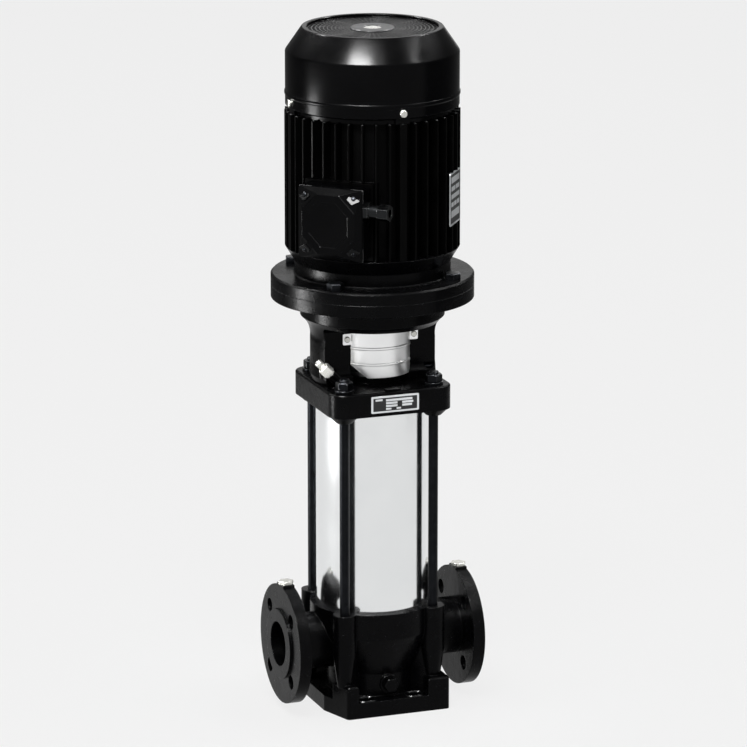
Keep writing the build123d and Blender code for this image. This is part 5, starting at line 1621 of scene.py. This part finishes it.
def motor_print(
    angle: float = -37.0, reach: float = 105.0 * MM, middle: float = 649.0 * MM
) -> PlatePrint:
    """Returns the print of the motor's plate.

    Args:
        angle: Direction that the plate faces, in degrees about Z.
        reach: Distance of its outer face from the shaft axis.
        middle: Height of its middle.

    Returns:
        The print, ready to build.
    """
    out = heading(angle)
    rows = (
        (0.08, 0.82, 0.84, 0.12),
        (0.08, 0.66, 0.40, 0.09),
        (0.54, 0.66, 0.38, 0.09),
        (0.08, 0.50, 0.84, 0.09),
        (0.08, 0.34, 0.24, 0.09),
        (0.38, 0.34, 0.24, 0.09),
        (0.68, 0.34, 0.24, 0.09),
        (0.08, 0.12, 0.84, 0.14),
    )
    return PlatePrint(
        "motor_plate", out * reach + UP * middle, out, 41.0 * MM, 61.0 * MM, rows
    )


# ------------------------------------------------------------------------------------------
# Studio
# ------------------------------------------------------------------------------------------


@dataclass(frozen=True)
class Lamp:
    """One area lamp that looks at the middle of the pump.

    Attributes:
        name: Name of the lamp.
        azimuth: Direction round the object, in degrees, as the camera's.
        elevation: Angle above the horizon, in degrees.
        reach: Distance from the middle of the pump.
        size: Width and height of the lamp.
        power: Power in watts.
        glints: Whether it only draws highlights and adds no diffuse light.
    """

    name: str
    azimuth: float
    elevation: float
    reach: float
    size: Pair
    power: float
    glints: bool = False

    def hang(self, aim: Vector) -> None:
        """Hangs the lamp so that it looks at a point.

        Args:
            aim: Point that it looks at.
        """
        data = bpy.data.lights.new(self.name, "AREA")
        data.shape = "RECTANGLE"
        data.size, data.size_y = self.size
        data.energy = self.power
        lamp = bpy.data.objects.new(self.name, data)
        a, e = math.radians(self.azimuth), math.radians(self.elevation)
        towards = Vector((math.sin(a) * math.cos(e), -math.cos(a) * math.cos(e), math.sin(e)))
        lamp.location = aim + towards * self.reach
        lamp.rotation_mode = "QUATERNION"
        lamp.rotation_quaternion = towards.to_track_quat("Z", "Y")
        lamp.visible_diffuse = not self.glints
        bpy.context.scene.collection.objects.link(lamp)


@dataclass
class Studio:
    """Pale floor, soft lamps, surroundings and the camera.

    Attributes:
        floor_half: Half the side of the floor.
        paper: Colour of floor and background, sRGB hex.
        paper_glow: Share of the floor's brightness that no shadow darkens.
        ambient: Brightness of the surroundings for matt surfaces.
        aim_height: Height of the point that the lamps look at.
        lamps: Soft lamps, and those that draw highlights on the black enamel from all sides.
        flags: Start and sweep of each flag round the object, in degrees.
        flag_section: Radius, thickness, lower and upper edge of a flag.
        flag_tones: Darkest and palest grey of the flags' cloth, sRGB hex.
        camera_azimuth: Direction of the camera round the object, in degrees.
        camera_reach: Level distance of the camera from the shaft axis.
        camera_height: Height of the camera.
        camera_pitch: Angle of the view below the horizon, in degrees.
        camera_turn: Heading of the view, in degrees.
        lens_mm: Focal length.
        sensor_mm: Width of the sensor.
    """

    floor_half: float = 40.0
    paper: str = "#f3f3f3"
    paper_glow: float = 0.9
    ambient: float = 0.45
    aim_height: float = 0.45
    lamps: Sequence[Lamp] = (
        Lamp("key_lamp", -28.0, 56.0, 4.0, (2.2, 1.0), 70.0),
        Lamp("fill_lamp", 60.0, 40.0, 5.0, (3.0, 2.0), 30.0),
        Lamp("back_lamp", 190.0, 50.0, 5.0, (3.0, 2.0), 30.0),
        Lamp("highlight_lamp", -41.0, 52.0, 4.0, (1.5, 0.8), 1300.0, True),
        Lamp("low_highlight_lamp", -104.0, -9.0, 1.9, (0.5, 0.5), 60.0, True),
        Lamp("side_highlight_lamp", 62.0, 44.0, 4.0, (1.4, 0.8), 300.0, True),
        Lamp("back_highlight_lamp", 110.0, 46.0, 4.0, (1.4, 0.8), 450.0, True),
        Lamp("far_highlight_lamp", 213.0, 46.0, 4.0, (1.4, 0.8), 600.0, True),
    )
    flags: Sequence[tuple[str, float, float]] = (
        ("left_flag", -282.0, 82.0),
        ("right_flag", -40.0, 92.0),
    )
    flag_section: tuple[float, float, float, float] = (1.6, 0.02, 0.02, 2.4)
    flag_tones: tuple[str, str] = ("#4c4c4c", "#7a7a7a")
    camera_azimuth: float = -20.407
    camera_reach: float = 5.7415
    camera_height: float = 1.9122
    camera_pitch: float = 14.575
    camera_turn: float = -20.42
    lens_mm: float = 231.8
    sensor_mm: float = 36.0

    def build(self) -> None:
        """Builds the floor, lamps, flags, world and camera."""
        self._floor()
        for lamp in self.lamps:
            lamp.hang(UP * self.aim_height)
        self._flags()
        self._world()
        self._camera()
        bpy.context.scene.view_settings.view_transform = "Standard"

    def _tree(self, owner: bpy.types.Material | bpy.types.World) -> bpy.types.NodeTree:
        """Switches a material or world to nodes.

        Args:
            owner: The material or world.

        Returns:
            Its node tree, emptied.
        """
        owner.use_nodes = True
        owner.node_tree.nodes.clear()
        return owner.node_tree

    def _add(
        self, name: str, mesh: bmesh.types.BMesh, material: bpy.types.Material
    ) -> bpy.types.Object:
        """Adds an object of the studio.

        Args:
            name: Name of the object.
            mesh: Geometry in metres; it is freed here.
            material: Its material.

        Returns:
            The new object.
        """
        data = bpy.data.meshes.new(name)
        mesh.to_mesh(data)
        mesh.free()
        data.materials.append(material)
        made = bpy.data.objects.new(name, data)
        bpy.context.scene.collection.objects.link(made)
        return made

    def _looked_at(self, tree: bpy.types.NodeTree) -> bpy.types.NodeSocket:
        """Tells rays that look at a surface from those that only light it.

        Args:
            tree: Tree that the nodes go into.

        Returns:
            One where a ray comes from the camera, a reflection or a clear surface, else zero.
        """
        rays = add_node(tree, "ShaderNodeLightPath").outputs
        seen = rays["Is Camera Ray"]
        for other in ("Is Glossy Ray", "Is Transmission Ray"):
            seen = add_node(
                tree, "ShaderNodeMath", {"operation": "MAXIMUM"}, {0: seen, 1: rays[other]}
            ).outputs["Value"]
        return seen

    def _floor(self) -> None:
        """Lays the floor, pale to the camera and darkened only where the object shades it."""
        material = bpy.data.materials.new("matt_backdrop_paper")
        tree = self._tree(material)
        share = add_node(
            tree,
            "ShaderNodeMath",
            {"operation": "MULTIPLY", 1: self.paper_glow},
            {0: self._looked_at(tree)},
        ).outputs["Value"]
        colour = linear(self.paper)
        paper = add_node(tree, "ShaderNodeBsdfDiffuse", {"Color": colour}).outputs["BSDF"]
        glow = add_node(
            tree, "ShaderNodeEmission", {"Color": colour, "Strength": 1.0}
        ).outputs["Emission"]
        surface = add_node(
            tree, "ShaderNodeMixShader", {}, {0: share, 1: paper, 2: glow}
        ).outputs["Shader"]
        add_node(tree, "ShaderNodeOutputMaterial", {}, {"Surface": surface})
        mesh = bmesh.new()
        half = self.floor_half
        outline = ((-half, -half), (half, -half), (half, half), (-half, half))
        mesh.faces.new([mesh.verts.new((x, y, 0.0)) for x, y in outline])
        floor = self._add("floor", mesh, material)

    def _flags(self) -> None:
        """Stands two tall grey flags out of view, which darken the flanks of polished pieces."""
        cloth = self._flag_cloth()
        radius, thick, low, high = self.flag_section
        back = radius + thick
        for name, start, sweep in self.flags:
            mesh = bmesh.new()
            add_lathe(
                mesh,
                [(radius, low), (back, low), (back, high), (radius, high)],
                24,
                start=math.radians(start),
                sweep=math.radians(sweep),
            )
            flag = self._add(name, mesh, cloth)
            flag.visible_camera = False
            flag.visible_shadow = False
            flag.visible_diffuse = False

    def _flag_cloth(self) -> bpy.types.Material:
        """Returns the grey cloth of the flags, evenly lit and softly mottled."""
        made = bpy.data.materials.new("grey_flag_cloth")
        tree = self._tree(made)
        cloud = add_node(tree, "ShaderNodeTexNoise", {"Scale": 1.5, "Detail": 1.0}).outputs["Fac"]
        dark, pale = (linear(tone) for tone in self.flag_tones)
        tone = add_node(
            tree, "ShaderNodeMix", {"data_type": "RGBA", 6: dark, 7: pale}, {0: cloud}
        ).outputs[2]
        glow = add_node(tree, "ShaderNodeEmission", {}, {"Color": tone}).outputs["Emission"]
        add_node(tree, "ShaderNodeOutputMaterial", {}, {"Surface": glow})
        return made

    def _world(self) -> None:
        """Surrounds the pump with an even pale room."""
        world = bpy.data.worlds.new("pale_room")
        bpy.context.scene.world = world
        tree = self._tree(world)
        strength = add_node(
            tree,
            "ShaderNodeMapRange",
            {"To Min": self.ambient, "To Max": 1.0},
            {"Value": self._looked_at(tree)},
        ).outputs["Result"]
        back = add_node(
            tree, "ShaderNodeBackground", {"Color": linear(self.paper)}, {"Strength": strength}
        ).outputs["Background"]
        add_node(tree, "ShaderNodeOutputWorld", {}, {"Surface": back})

    def _camera(self) -> None:
        """Sets the camera at the viewing angle."""
        data = bpy.data.cameras.new("view")
        data.sensor_width = self.sensor_mm
        data.lens = self.lens_mm
        camera = bpy.data.objects.new("view", data)
        a = math.radians(self.camera_azimuth)
        camera.location = (
            self.camera_reach * math.sin(a),
            -self.camera_reach * math.cos(a),
            self.camera_height,
        )
        camera.rotation_euler = (
            math.radians(90.0 - self.camera_pitch),
            0.0,
            math.radians(self.camera_turn),
        )
        bpy.context.scene.collection.objects.link(camera)
        bpy.context.scene.camera = camera


# ------------------------------------------------------------------------------------------
# Assembly
# ------------------------------------------------------------------------------------------


def main() -> None:
    """Loads the frame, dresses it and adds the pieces."""
    logging.basicConfig(level=logging.INFO, format="%(message)s")
    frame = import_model()
    dress_nodes(frame["nodes"])
    for part in (
        BaseWebs(),
        SlotRims(),
        HeadPads(),
        TieRodEnds(),
        VentPlug(),
        CouplingGuard("guard_front", 0.0),
        CouplingGuard("guard_back", 180.0),
        FanCover(),
        FanGuard(),
        TerminalLid(),
        FinEnds(),
        rating_print(),
        motor_print(),
        Studio(),
    ):
        part.build()


if __name__ == "__main__":
    main()
